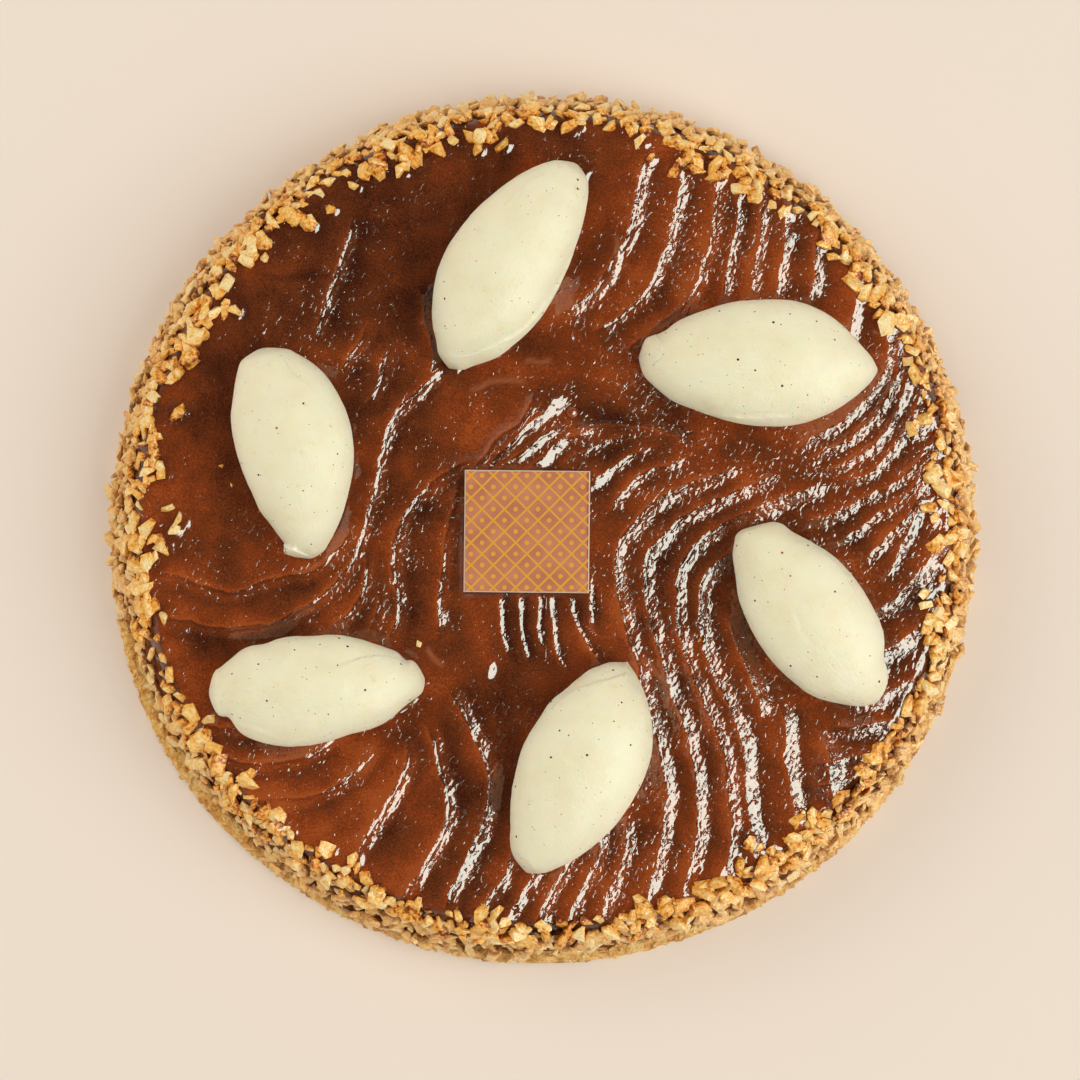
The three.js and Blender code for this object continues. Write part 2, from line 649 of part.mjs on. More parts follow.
// A quenelle: cross sections like a loaf's, flat underneath, along a bowed line between two ends.
function quenelle(shape) {
  const positions = [];
  const triangles = [];
  const turn = THREE.MathUtils.degToRad(shape.turn);
  const addCorner = (x, y, z) => positions.push(x, y, z) / 3 - 1;
  const rings = [];
  for (let i = 0; i < stations; i++) {
    const along = Math.sin((Math.PI / 2) * endStation * ((2 * i) / (stations - 1) - 1));
    const { half, middle } = crossWidth(shape, along);
    const height = shape.height * (1 - along * along) ** backPower;
    const belly = bellyShare * height;
    const ring = [];
    for (let k = 0; k < girth; k++) {
      const angle = -footAngle + ((Math.PI + 2 * footAngle) * k) / (girth - 1);
      const reach = Math.sin(angle) > 0 ? height - belly : belly / Math.sin(footAngle);
      const across = middle + half * Math.cos(angle);
      const lengthwise = (along * shape.length) / 2;
      ring.push(addCorner(
        shape.x + lengthwise * Math.cos(turn) - across * Math.sin(turn),
        shape.y + lengthwise * Math.sin(turn) + across * Math.cos(turn),
        seat + gap + belly + reach * Math.sin(angle),
      ));
    }
    rings.push(ring);
  }
  for (let i = 0; i < rings.length - 1; i++) triangles.push(...bandTriangles(rings[i], rings[i + 1]));
  const [tail] = rings;
  const nose = rings[rings.length - 1];
  for (let k = 1; k < girth - 1; k++) {
    triangles.push(tail[0], tail[k + 1], tail[k]);
    triangles.push(nose[0], nose[k], nose[k + 1]);
  }
  return meshFrom(positions, triangles);
}

// ---- Plaque -----------------------------------------------------------------------------------------

function plaqueSlab() {
  const { width, depth, height, bevel } = plaque;
  const outline = new THREE.Shape([
    new THREE.Vector2(-width / 2 + bevel, -depth / 2 + bevel),
    new THREE.Vector2(width / 2 - bevel, -depth / 2 + bevel),
    new THREE.Vector2(width / 2 - bevel, depth / 2 - bevel),
    new THREE.Vector2(-width / 2 + bevel, depth / 2 - bevel),
  ]);
  return new THREE.ExtrudeGeometry(outline, {
    depth: height - 2 * bevel,
    bevelSize: bevel,
    bevelThickness: bevel,
    bevelSegments: 1,
  }).translate(0, 0, bevel);
}

// ---- The tart -----------------------------------------------------------------------------------------

const finishes = {
  pastry: new THREE.MeshStandardMaterial({ color: '#c9974f', roughness: 0.85, metalness: 0 }),
  apple: new THREE.MeshStandardMaterial({ color: '#7a3510', roughness: 0.25, metalness: 0 }),
  cream: new THREE.MeshStandardMaterial({ color: '#efe8c6', roughness: 0.55, metalness: 0 }),
  plaque: new THREE.MeshStandardMaterial({ color: '#bd7650', roughness: 0.4, metalness: 0 }),
};

const tart = new THREE.Group();

function addPiece(name, geometry, material) {
  const mesh = new THREE.Mesh(geometry, material);
  mesh.name = name;
  tart.add(mesh);
  return mesh;
}

addPiece('pastry_base', pastryBase(), finishes.pastry);
addPiece('apple_layer', appleLayer(), finishes.apple);
quenelles.forEach((shape, i) => addPiece(`quenelle_${i + 1}`, quenelle(shape), finishes.cream));
const slab = addPiece('plaque', plaqueSlab(), finishes.plaque);
slab.position.set(plaque.x, plaque.y, seat + gap);
slab.rotation.z = THREE.MathUtils.degToRad(plaque.turn);

// The origin is under the middle of the whole tart, on the plane that it stands on.
tart.updateMatrixWorld(true);
const middle = new THREE.Box3().setFromObject(tart, true).getCenter(new THREE.Vector3());
tart.position.set(-middle.x, -middle.y, 0);

export default tart;
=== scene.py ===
# %% [markdown]
# # Tarte tatin
#
# A round tart seen from above: glossy caramelised apple on a pastry base, a border of chopped nuts,
# six quenelles of vanilla cream and a small square plaque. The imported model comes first. It holds
# every piece at its true size, and each piece made below stands exactly where its solid stands.

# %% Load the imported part
import json
import math

import bmesh
import bpy
import numpy as np
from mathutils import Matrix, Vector

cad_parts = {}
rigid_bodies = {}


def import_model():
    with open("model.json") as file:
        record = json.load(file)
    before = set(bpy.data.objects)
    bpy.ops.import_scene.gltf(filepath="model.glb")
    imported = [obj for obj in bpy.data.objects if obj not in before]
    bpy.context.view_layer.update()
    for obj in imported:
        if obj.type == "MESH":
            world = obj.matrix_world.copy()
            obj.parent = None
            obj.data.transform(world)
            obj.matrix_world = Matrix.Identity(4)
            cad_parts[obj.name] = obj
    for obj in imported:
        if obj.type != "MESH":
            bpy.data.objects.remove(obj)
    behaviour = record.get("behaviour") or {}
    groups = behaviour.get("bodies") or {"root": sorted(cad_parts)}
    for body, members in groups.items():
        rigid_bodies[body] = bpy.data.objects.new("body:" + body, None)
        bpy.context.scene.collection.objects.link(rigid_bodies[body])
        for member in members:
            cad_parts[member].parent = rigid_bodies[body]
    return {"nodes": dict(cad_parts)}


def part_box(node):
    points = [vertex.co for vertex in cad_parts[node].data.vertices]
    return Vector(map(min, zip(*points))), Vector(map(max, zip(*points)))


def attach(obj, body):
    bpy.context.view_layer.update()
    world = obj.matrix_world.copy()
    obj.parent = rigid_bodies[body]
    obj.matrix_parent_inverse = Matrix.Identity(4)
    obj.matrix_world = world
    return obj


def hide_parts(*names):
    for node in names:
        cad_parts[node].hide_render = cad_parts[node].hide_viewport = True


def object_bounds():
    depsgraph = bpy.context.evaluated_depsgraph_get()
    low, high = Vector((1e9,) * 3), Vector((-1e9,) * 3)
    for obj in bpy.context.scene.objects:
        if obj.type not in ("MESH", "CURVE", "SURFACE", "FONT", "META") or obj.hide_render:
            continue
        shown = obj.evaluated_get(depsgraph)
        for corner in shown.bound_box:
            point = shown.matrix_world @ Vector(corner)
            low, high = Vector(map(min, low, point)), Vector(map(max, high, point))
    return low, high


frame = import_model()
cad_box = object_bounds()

print("nodes:", ", ".join(sorted(frame["nodes"])))

# %% [markdown]
# ## Units and the tart's own frame
#
# Blender works in metres, and a baker's sizes are millimetres, so sizes are written in millimetres and
# turned to metres when a mesh is made. The tart's plan is drawn from a middle of its own. The plaque
# is a rigid piece with a known place in that plan, so where its solid stands gives the shift between
# the two frames.

# %% The shift from the tart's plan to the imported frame
MM = 0.001
PLAQUE_MIDDLE = np.array([-4.8, -1.1])

plaque_low, plaque_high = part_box("plaque")
shift = np.array((plaque_low + plaque_high)[:2]) / 2 / MM - PLAQUE_MIDDLE
GAP = 0.3  # the solids keep this far apart, and the pieces made here rest on each other
SEAT = plaque_low[2] / MM - GAP  # what lies on the glaze rests here
APPLE_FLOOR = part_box("apple_layer")[0][2] / MM
PASTRY_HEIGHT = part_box("pastry_base")[1][2] / MM
print("shift in mm:", shift.round(3), "seat:", round(SEAT, 2))

# %% [markdown]
# ## Small helpers
#
# A mesh is made from arrays: corners in millimetres in the tart's plan, and faces as corner numbers.
# Colours are picked as screen values, so one function turns such a hex value to the linear
# numbers that Blender's sockets hold. One function adds a shader or geometry node with its inputs and
# settings. An input is a value, another node's output, or a node in place of its first output. A
# colour ramp also gets its stops, and a curve its points.


# %% Meshes from arrays
def make_piece(name, corners, faces, flat=False):
    """A mesh object at the origin. Corners are millimetres in the tart's plan."""
    placed = (np.asarray(corners, float) + [shift[0], shift[1], 0]) * MM
    mesh = bpy.data.meshes.new(name)
    mesh.from_pydata(placed.tolist(), [], [list(map(int, face)) for face in faces])
    mesh.validate()
    if not flat:
        mesh.shade_smooth()
    piece = bpy.data.objects.new(name, mesh)
    bpy.context.collection.objects.link(piece)
    print(f"{name}: {sum(len(face) - 2 for face in faces)} triangles")
    return piece


def store_on_corners(piece, name, values):
    """Keeps a number, or three, for each corner of the mesh, for its material to read."""
    values = np.asarray(values, np.float32)
    kind, field = ("FLOAT", "value") if values.ndim == 1 else ("FLOAT_VECTOR", "vector")
    attribute = piece.data.attributes.new(name, kind, "POINT")
    attribute.data.foreach_set(field, values.ravel())


# %% Nothing outside the solids' box
def keep_inside(mesh):
    """Moves corners that stand outside the box of the solids onto it."""
    places = np.empty(len(mesh.vertices) * 3, np.float32)
    mesh.vertices.foreach_get("co", places)
    low, high = (np.array(corner) for corner in cad_box)
    mesh.vertices.foreach_set("co", np.clip(places.reshape(-1, 3), low, high).ravel())
    mesh.update()


# %% Bands of faces between rings of corners
def band(lower, upper):
    """Quads between two rings of equal length. Seen from outside, the first ring is below."""
    ahead_lower, ahead_upper = np.roll(lower, -1), np.roll(upper, -1)
    return np.column_stack([lower, ahead_lower, ahead_upper, upper]).tolist()


def fan(middle, ring):
    """Triangles from a middle corner to a ring, facing the side from which it runs counterclockwise."""
    return [[middle, a, b] for a, b in zip(ring, np.roll(ring, -1))]


# %% Smooth steps and noise
LATTICE = 97  # random numbers along each side of a lattice, which then repeats


def smooth_step(low, high, value):
    """0 up to the low value, 1 from the high value on, and a smooth climb between them."""
    part = np.clip((value - low) / (high - low), 0, 1)
    return part * part * (3 - 2 * part)


def soft_noise(x, y, size, seed):
    """Smooth random numbers between -1 and 1 that change over about the given size."""
    lattice = np.random.default_rng(seed).uniform(-1, 1, (LATTICE, LATTICE))
    u, v = np.asarray(x) / size, np.asarray(y) / size
    i, j = np.floor(u).astype(int), np.floor(v).astype(int)
    a, b = smooth_step(0, 1, u - i), smooth_step(0, 1, v - j)
    (i, next_i), (j, next_j) = ((k % LATTICE, (k + 1) % LATTICE) for k in (i, j))
    low = lattice[i, j] * (1 - a) + lattice[next_i, j] * a
    high = lattice[i, next_j] * (1 - a) + lattice[next_i, next_j] * a
    return low * (1 - b) + high * b


def layered_noise(x, y, *layers):
    """A sum of soft noises, each given by its height, size and seed."""
    return sum(height * soft_noise(x, y, size, seed) for height, size, seed in layers)


# %% Colours and nodes
def colour(code):
    """A screen colour such as #a05020 as linear red, green, blue and alpha."""
    parts = [int(code[i:i + 2], 16) / 255 for i in (1, 3, 5)]
    return [p / 12.92 if p <= 0.04045 else ((p + 0.055) / 1.055) ** 2.4 for p in parts] + [1.0]


def set_stops(ramp, stops):
    """Gives a colour ramp its stops, as positions and screen colours."""
    elements = ramp.color_ramp.elements
    while len(elements) > 1:
        elements.remove(elements[-1])
    for i, (position, code) in enumerate(stops):
        element = elements[0] if i == 0 else elements.new(position)
        element.position = position
        element.color = colour(code)


def set_points(node, points):
    """Gives a float curve straight runs between the given points, from left to right."""
    curve = node.mapping.curves[0]
    curve.points[0].location = points[0]
    curve.points[1].location = points[-1]
    for point in points[1:-1]:
        curve.points.new(*point)
    for point in curve.points:
        point.handle_type = "VECTOR"
    node.mapping.update()


def node_adder(tree, prefix=""):
    """The function that adds a node to this tree. The prefix begins the name of every kind."""
    def add(kind, inputs=None, stops=(), points=(), **settings):
        made = tree.nodes.new(prefix + kind)
        for name, value in settings.items():
            setattr(made, name, value)
        for key, value in (inputs or {}).items():
            if isinstance(value, bpy.types.Node):
                value = value.outputs[0]
            if isinstance(value, bpy.types.NodeSocket):
                tree.links.new(value, made.inputs[key])
            else:
                made.inputs[key].default_value = value
        if stops:
            set_stops(made, stops)
        if points:
            set_points(made, points)
        return made

    return add


def new_material(name):
    """An empty material, and the function that adds a node to it."""
    material = bpy.data.materials.new(name)
    material.use_nodes = True
    material.node_tree.nodes.clear()
    return material, node_adder(material.node_tree, "ShaderNode")


def finish_material(add, inputs):
    """Adds a material's surface with the given inputs, and its output node."""
    surface = add("BsdfPrincipled", inputs)
    add("OutputMaterial", {0: surface})


# %% [markdown]
# ## Camera
#
# The camera looks straight down from far away through a long lens, so that the quenelles, which stand
# higher than the border, are hardly larger than life. The frame is a little wider than the tart.

# %% A long lens straight above
FRAME_WIDTH = 294.5  # what the square frame shows at the frame's level
FRAME_LEVEL = 20.0  # above the table, near the height of the glaze
LENS = 400.0
SENSOR = 36.0
FRAME_MIDDLE = np.array([-1.23, -3.41])

distance = FRAME_WIDTH * LENS / SENSOR
camera_data = bpy.data.cameras.new("camera")
camera_data.lens = LENS
camera_data.sensor_width = SENSOR
camera_data.clip_end = 20.0  # metres, so far past the table
camera = bpy.data.objects.new("camera", camera_data)
bpy.context.collection.objects.link(camera)
camera.location = [*((FRAME_MIDDLE + shift) * MM), (distance + FRAME_LEVEL) * MM]
bpy.context.scene.camera = camera
print("camera height in m:", round(camera.location[2], 3))

# %% [markdown]
# ## Light
#
# Gloss shows what it mirrors. Seen from above, a level patch of glaze mirrors what is overhead, and a
# patch that leans to the right mirrors what is to the right. So the glaze looks deep brown where it is
# level, if nothing bright hangs overhead, and it shows white streaks on the slopes that face a large
# soft box on the right. The rest of the light is a dome that is dark overhead and pale at its foot. What
# the glaze mirrors and what lights the cream can be set apart, since a lamp may be hidden from either.


# %% Soft boxes
def soft_box(name, bearing, elevation, away, width, height, radiance, tint, mirrored=True, lights=True):
    """An area light that faces the tart's middle. Bearing 0 is to the right and 90 is away."""
    light = bpy.data.lights.new(name, "AREA")
    light.shape = "RECTANGLE"
    light.size = width
    light.size_y = height
    light.energy = radiance * math.pi * width * height
    light.color = colour(tint)[:3]
    lamp = bpy.data.objects.new(name, light)
    bpy.context.collection.objects.link(lamp)
    bearing, elevation = math.radians(bearing), math.radians(elevation)
    towards = Vector((
        math.cos(bearing) * math.cos(elevation),
        math.sin(bearing) * math.cos(elevation),
        math.sin(elevation),
    ))
    lamp.location = towards * away
    lamp.visible_camera = False
    lamp.visible_glossy = mirrored
    lamp.visible_diffuse = lights
    lamp.rotation_euler = towards.to_track_quat("Z", "Y").to_euler()


soft_box("mirrored_box", -20, 41.3, 1.0, 0.98, 0.87, radiance=9.3, tint="#f8fff0", lights=False)
soft_box("key_box", -16, 48, 2.2, 1.9, 2.0, radiance=2.45, tint="#fffcf4", mirrored=False)
soft_box("left_fill", 152, 40, 2.2, 2.2, 1.6, radiance=1.85, tint="#fff6ea", mirrored=False)
soft_box("top_fill", 0, 90, 2.0, 2.0, 2.0, radiance=0.8, tint="#fffaf4", mirrored=False)

# %% The dome
DOME = [(0.0, "#f6f1ea"), (0.3, "#c9c4bd"), (0.6, "#5b5854"), (0.8, "#242220"), (1.0, "#1c1a19")]

world = bpy.data.worlds.new("studio")
bpy.context.scene.world = world
world.use_nodes = True
world.node_tree.nodes.clear()
add = node_adder(world.node_tree, "ShaderNode")
direction = add("TexCoord").outputs["Generated"]
height_of = add("SeparateXYZ", {0: direction}).outputs["Z"]
dome_tint = add("ValToRGB", {0: height_of}, stops=DOME)
dome_light = add("Background", {0: dome_tint, 1: 1.0})
add("OutputWorld", {0: dome_light})
bpy.context.scene.view_settings.view_transform = "Standard"

# %% [markdown]
# ## Floor
#
# A light table: a sheet of opal acrylic, larger than any view of the tart, that glows a little from
# below. Part of its brightness is its own, so the tart's shadow on it stays faint.

# %% Light table
TABLE_HALF = 4.0

table_corners = [(x * TABLE_HALF, y * TABLE_HALF, 0) for x, y in ((-1, -1), (1, -1), (1, 1), (-1, 1))]
table_mesh = bpy.data.meshes.new("light_table")
table_mesh.from_pydata(table_corners, [], [(0, 1, 2, 3)])
table = bpy.data.objects.new("light_table", table_mesh)
bpy.context.collection.objects.link(table)

opal, add = new_material("opal_acrylic")
finish_material(add, {
    "Base Color": colour("#ded4ca"),
    "Roughness": 0.9,
    "Specular IOR Level": 0.0,
    "Emission Color": colour("#eddecb"),
    "Emission Strength": 0.2,
})
table_mesh.materials.append(opal)

# %% [markdown]
# ## The quenelles' outlines
#
# A quenelle is a spoonful of cream passed between two spoons: a lens with two pointed or blunt ends.
# In plan each has a length, a width and a turn, then how its two ends taper (0.5 is round, 1 is a
# point), how far its middle bows sideways and how far its widest place is shifted. They come before
# the glaze, because the glaze is level where they rest on it.

# %% Six outlines
QUENELLE_MEASURES = ("x", "y", "length", "width", "turn", "tail", "nose", "bow", "shift", "height")
QUENELLES = [dict(zip(QUENELLE_MEASURES, row)) for row in (
    (-8.7, 71, 66.7, 31.7, 58, 0.98, 0.52, 1.9, 0.15, 21),
    (58.5, 44.4, 65.8, 34.2, -3, 0.61, 0.97, 0.6, -0.13, 22),
    (-70.3, 20.2, 60.3, 31.8, 103.5, 0.67, 0.67, -3, -0.14, 20.5),
    (-62.2, -43.2, 60, 30, 4, 0.77, 0.47, -1, 0.2, 20),
    (8.6, -65.7, 64.8, 34.5, 64.5, 0.75, 0.87, -1.2, -0.1, 22),
    (71.8, -23.2, 62.9, 31, -52.5, 0.78, 0.71, 0.1, -0.03, 21),
)]
# Where the spoon left each one, in millimetres from its middle, along and across. The tips are cut
# short by so much, at a slant, and rounded over a length. A knock is a place on the left (1) or right
# (-1) edge that is pushed out by so much over a reach, or in where it is negative. A fold is a low
# step along a line.
TOUCHES = [
    dict(cuts=(0.7, 0.5), slants=(0, 0), rounds=(2, 2.6),
         knocks=[(-31, 1, 1.1, 2), (-31, -1, 1, 2), (-26, 1, 0.4, 4), (-24, -1, 0.6, 5)],
         folds=[(0.5, [(-30, 2.4), (-27, -2.6), (-19.6, -8.1), (-11.8, -11.9), (1, -13.3), (13.7, -11.5)]),
                (0.3, [(10, 11), (20, 9), (27, 5)])]),
    dict(cuts=(0.05, 0.8), slants=(0, 0), rounds=(1.6, 2),
         knocks=[(-31.5, 1, 1.8, 2), (-31.5, -1, 0.5, 2), (-26, 1, -0.6, 2), (-24, -1, 1.5, 9),
                 (-6, -1, 0.7, 8), (26, 1, -0.5, 4)],
         folds=[(0.5, [(-30, 8), (-27, 4), (-27.5, 0), (-31, -3)]),
                (0.35, [(-18, -13.5), (-4, -14.5), (10, -13.5)])]),
    dict(cuts=(0.7, 0.9), slants=(0, 0), rounds=(1.6, 2.6),
         knocks=[(-26.5, 1, 2.2, 1.8), (-29, -1, 0.6, 2), (-14, 1, 0.6, 3), (19, 1, -0.9, 6),
                 (22, -1, 0.8, 6), (28, 1, 0.8, 2.5), (28, -1, 0.6, 2)],
         folds=[(0.8, [(-22.5, 8), (-25.5, 4), (-27.5, 2), (-29.5, -1)]),
                (0.45, [(27, -5), (21, -7), (16, -11)])]),
    dict(cuts=(0.9, 0.3), slants=(0, -0.15), rounds=(2.6, 1.6),
         knocks=[(-28, 1, 1.4, 2.5), (-28.5, -1, 0.7, 2), (-24, -1, -1.9, 1.8), (-18, 1, 0.4, 4),
                 (-13, 1, -0.8, 4), (9, 1, 0.8, 9), (25.3, 1, -1.2, 1.3), (8, -1, -0.8, 5),
                 (24.5, -1, -1.3, 4)],
         folds=[(0.45, [(4, 4), (13, 7), (20, 7), (27, 4)]),
                (0.5, [(-24, -7), (-19, -9), (-12, -12)])]),
    dict(cuts=(1.2, 0.1), slants=(0, 0), rounds=(2.6, 2),
         knocks=[(-27, 1, 0.9, 4), (8, 1, -0.7, 6), (0, -1, -0.8, 12), (18, 1, -0.7, 3),
                 (26.5, 1, 0.9, 3), (30, 1, 0.9, 1.5)],
         folds=[(0.8, [(10.9, 13.7), (19.8, 9.5), (26.1, 2.6), (31, -2.7)]),
                (0.6, [(-31, -4), (-28.5, 1), (-27, 7)])]),
    dict(cuts=(2.7, 0.7), slants=(0.34, 0), rounds=(1.2, 2.6),
         knocks=[(-27, 1, 2.6, 4), (-28, -1, -1.5, 4), (-20, -1, -0.8, 4), (22, 1, -1.1, 3),
                 (4, -1, 0.7, 18), (18, -1, 0.7, 5)],
         folds=[(0.45, [(-20, 8.5), (-8, 13.5), (4, 13.5), (16, 11)]),
                (0.4, [(-6, -2), (2, -5), (9, -5)])]),
]


def cross_width(quenelle, along):
    """Half width and the middle line's offset at places along a quenelle, from -1 to 1."""
    body = 1 - along * along
    shifted = np.clip(along + quenelle["shift"] * body, -1, 1)
    taper = np.where(shifted < 0, quenelle["tail"], quenelle["nose"])
    return quenelle["width"] / 2 * (1 - shifted * shifted) ** taper, quenelle["bow"] * body


# %% [markdown]
# ## Apple slices
#
# The apples were sliced, fanned and pressed, so the top is a field of long low steps like shingles.
# Each fan of slices is drawn by a few guide edges, and the slices between two guides are blended from
# them. Across an edge the glaze climbs slowly over the width of a slice and then drops over a short
# steep side, which is on the left of the edge's path. Those steep sides catch the soft box.

# %% The fans' guide edges
FANS = [  # pitch, how many slices lie between one guide and the next, and the guides
    (9, [1], [
        [(26.5, 97), (22, 79), (13.8, 64.7), (2, 55.6)],
        [(47.4, 91), (44.7, 76.5), (38, 61.5), (20, 47)]]),
    (7, [1, 0, 0], [
        [(52.8, 88.3), (51.5, 77), (49.5, 68), (46.5, 59)],
        [(65.2, 87), (66, 78), (64.6, 70), (62.5, 60.5)],
        [(74.2, 76), (74, 71), (73.4, 66), (72, 59)],
        [(85.5, 68), (84.8, 62), (84, 57), (83, 52)]]),
    (9.5, [1, 0], [
        [(55, 17.3), (34, 10), (20.5, -2), (19, -12), (22.4, -29), (30.6, -58), (32.9, -77), (29.5, -97)],
        [(78, 12), (50, 2), (38, -7), (35, -19), (37.2, -33), (47, -57), (50.6, -79), (48, -96)],
        [(66, 2), (53.3, -4.8), (44, -12), (41.6, -24), (44.7, -37), (53, -56), (54.7, -72), (56.5, -86)]]),
    (6.5, [1], [
        [(25, 26.5), (14.5, 22), (3, 16.5)],
        [(42, 20), (24.7, 13), (15, 2)]]),
    (8, [0, 0, 0], [
        [(-2.5, 39), (-4.7, 31), (-11.5, 26), (-19, 17.5), (-25, 11.5)],
        [(2.5, 34.5), (-0.2, 30.8), (-6.5, 25.8), (-14.5, 18), (-20.5, 12)],
        [(8, 28.5), (1, 26.3), (-4, 22.6), (-10, 17.5), (-16, 12)],
        [(16, 26.5), (8, 25), (3, 22.7), (-3, 17.5), (-9.5, 12)]]),
    (6, [], [
        [(5, 26), (15, 27.8), (26, 28), (35, 26), (40, 20.5)]]),
    (3.5, [0, 0, 0, 0, 0], [
        [(-11, -12), (-12.2, -22.5), (-11.8, -29), (-8.8, -38)],
        [(-6.8, -12), (-6.8, -29), (-4.2, -39)],
        [(-1, -13), (-2.4, -27.8), (-0.5, -35)],
        [(1.3, -14), (1.8, -26), (2.6, -32.4), (6.5, -41)],
        [(6, -16), (8.8, -25.8), (12, -32), (18, -39)],
        [(13.2, -12), (12.5, -22), (14.5, -31)]]),
    (9, [0], [
        [(-18, 20.5), (-31.5, 11.5), (-39, 3), (-41.5, -9), (-39.5, -21), (-43, -32.5)],
        [(-22, 16), (-24, 8), (-28, -7), (-29.3, -20), (-28.5, -31)]]),
    (9, [0, 0, 0], [
        [(-26, 44), (-39.5, 33), (-45, 22), (-48.5, 3), (-54, -11), (-66, -21.5), (-82, -27), (-99, -25)],
        [(-51, 2), (-55, -4), (-63, -11), (-77, -14.5), (-86, -17.5), (-100, -13)],
        [(-48.7, -6), (-48.5, -14), (-52, -21), (-60, -28)],
        [(-45.4, -15), (-45, -22), (-49.5, -30.5)]]),
    (9, [0, 0, 0], [
        [(-53, 80), (-57, 68), (-61, 59), (-63, 48)],
        [(-47.5, 57), (-50.5, 51), (-54, 46), (-58, 40)],
        [(-42, 52), (-44.4, 43), (-46.5, 37), (-51, 31)],
        [(-35, 68), (-33, 58), (-31, 48), (-32, 39)]]),
    (9, [0, 0], [
        [(-62, -47), (-74, -52.5), (-86, -54.5), (-99, -53)],
        [(-55, -56), (-66, -62), (-79, -64), (-92, -62)],
        [(-43.5, -56.5), (-51.5, -66.5), (-64, -73), (-83, -74.5)]]),
    (10, [0, 0], [
        [(-38.3, -56), (-38, -64), (-42, -73), (-49.5, -85)],
        [(-33.5, -51), (-28.5, -66), (-27.2, -80), (-40, -101)],
        [(-28, -42), (-18.5, -60), (-15.3, -76), (-26, -101)]]),
    (8, [3], [
        [(-2, -70), (-8, -85), (-12, -96), (-18, -104)],
        [(23, -76), (22, -86), (19.5, -95), (14, -107)]]),
    (9, [0, 0], [
        [(49, -21), (52.9, -34), (58, -46), (59.5, -55)],
        [(63.5, -46), (65.8, -55), (66, -64), (68, -77)],
        [(74, -53), (76.5, -60), (77.5, -66), (79, -73)]]),
    (6, [2, 0, 2], [
        [(93, 55), (92.5, 44), (85, 33), (66, 19.5)],
        [(102, 35), (97.5, 25.5), (88, 15), (78, 12.5)],
        [(104, 22), (97, 14), (85, 7), (70, 0)],
        [(101, 5), (98, -2), (95.5, -9), (91, -16)]]),
    (8.5, [1, 0, 0, 0], [
        [(106, -7), (99.5, -16), (92, -21.5), (85, -24)],
        [(104, -39), (98, -43), (92, -46), (87, -47)],
        [(103, -47.5), (96, -52), (90, -54), (83, -54.5)],
        [(95, -57.5), (89, -60.8), (83, -62.7), (77.5, -63.5)],
        [(90, -65), (85, -67.5), (80, -69), (76, -70)]]),
]
CREASES = [  # depth, half width and path
    (0.45, 5.5, [(5, 34), (12, 31.5), (20, 30), (31, 30)]),
    (0.5, 2, [(-54, 69.5), (-66, 68), (-79, 68)]),
]


# %% Paths and distances
def smooth_path(points, steps=5):
    """Points on a smooth curve through the given ones."""
    given = np.array(points, float)
    ends = [2 * given[0] - given[1], *given, 2 * given[-1] - given[-2]]
    made = []
    for before, start, end, after in zip(ends, ends[1:], ends[2:], ends[3:]):
        part = (np.arange(steps) / steps)[:, None]
        lean = (end - before) / 2
        next_lean = (after - start) / 2
        cube = 2 * start - 2 * end + lean + next_lean
        square = 3 * end - 3 * start - 2 * lean - next_lean
        made.append(cube * part ** 3 + square * part ** 2 + lean * part + start)
    return np.vstack([*made, given[-1:]])


def nearest_on_path(path, x, y):
    """Signed distances to a path, positive on its left, how far along, and its whole length."""
    closest = np.full(x.shape, np.inf)
    side = np.ones(x.shape)
    along = np.zeros(x.shape)
    travelled = 0.0
    for start, end in zip(path, path[1:]):
        step = end - start
        length = math.hypot(*step)
        part = np.clip(((x - start[0]) * step[0] + (y - start[1]) * step[1]) / length ** 2, 0, 1)
        away = np.hypot(x - start[0] - part * step[0], y - start[1] - part * step[1])
        nearer = away < closest
        closest = np.where(nearer, away, closest)
        along = np.where(nearer, travelled + part * length, along)
        left = step[0] * (y - start[1]) - step[1] * (x - start[0]) >= 0
        side = np.where(nearer, np.where(left, 1, -1), side)
        travelled += length
    return closest * side, along, travelled


def fade_at_ends(along, length, over):
    """1 along a path, fading to 0 over some length at both its ends."""
    return smooth_step(0, over, along) * smooth_step(0, over, length - along)


def run_under_nuts(points, near=95, further=7):
    """Draws a path whose ends come near the border on under the nuts."""
    points = np.array(points, float)
    for _ in ("end", "start"):
        last, step = points[-1], points[-1] - points[-2]
        if math.hypot(*last) > near:
            points = np.vstack([points, last + further * step / math.hypot(*step)])
        points = points[::-1]
    return points


slices = []
for pitch, between, guides in FANS:
    for guide, next_guide, more in zip(guides, [*guides[1:], None], [*between, 0]):
        slices.append((pitch, smooth_path(run_under_nuts(guide))))
        for k in range(1, more + 1):
            part = k / (more + 1)
            blended = np.array(guide) * (1 - part) + np.array(next_guide) * part
            slices.append((pitch, smooth_path(run_under_nuts(blended))))
print("slice edges:", len(slices))

# %% [markdown]
# The glaze has to be worked out at some eighty thousand corners, so each slice only looks at the corners
# in a box round its own path. The real edges wander and are a little ragged, so the corners are shifted
# by soft noise before they are measured against the paths.

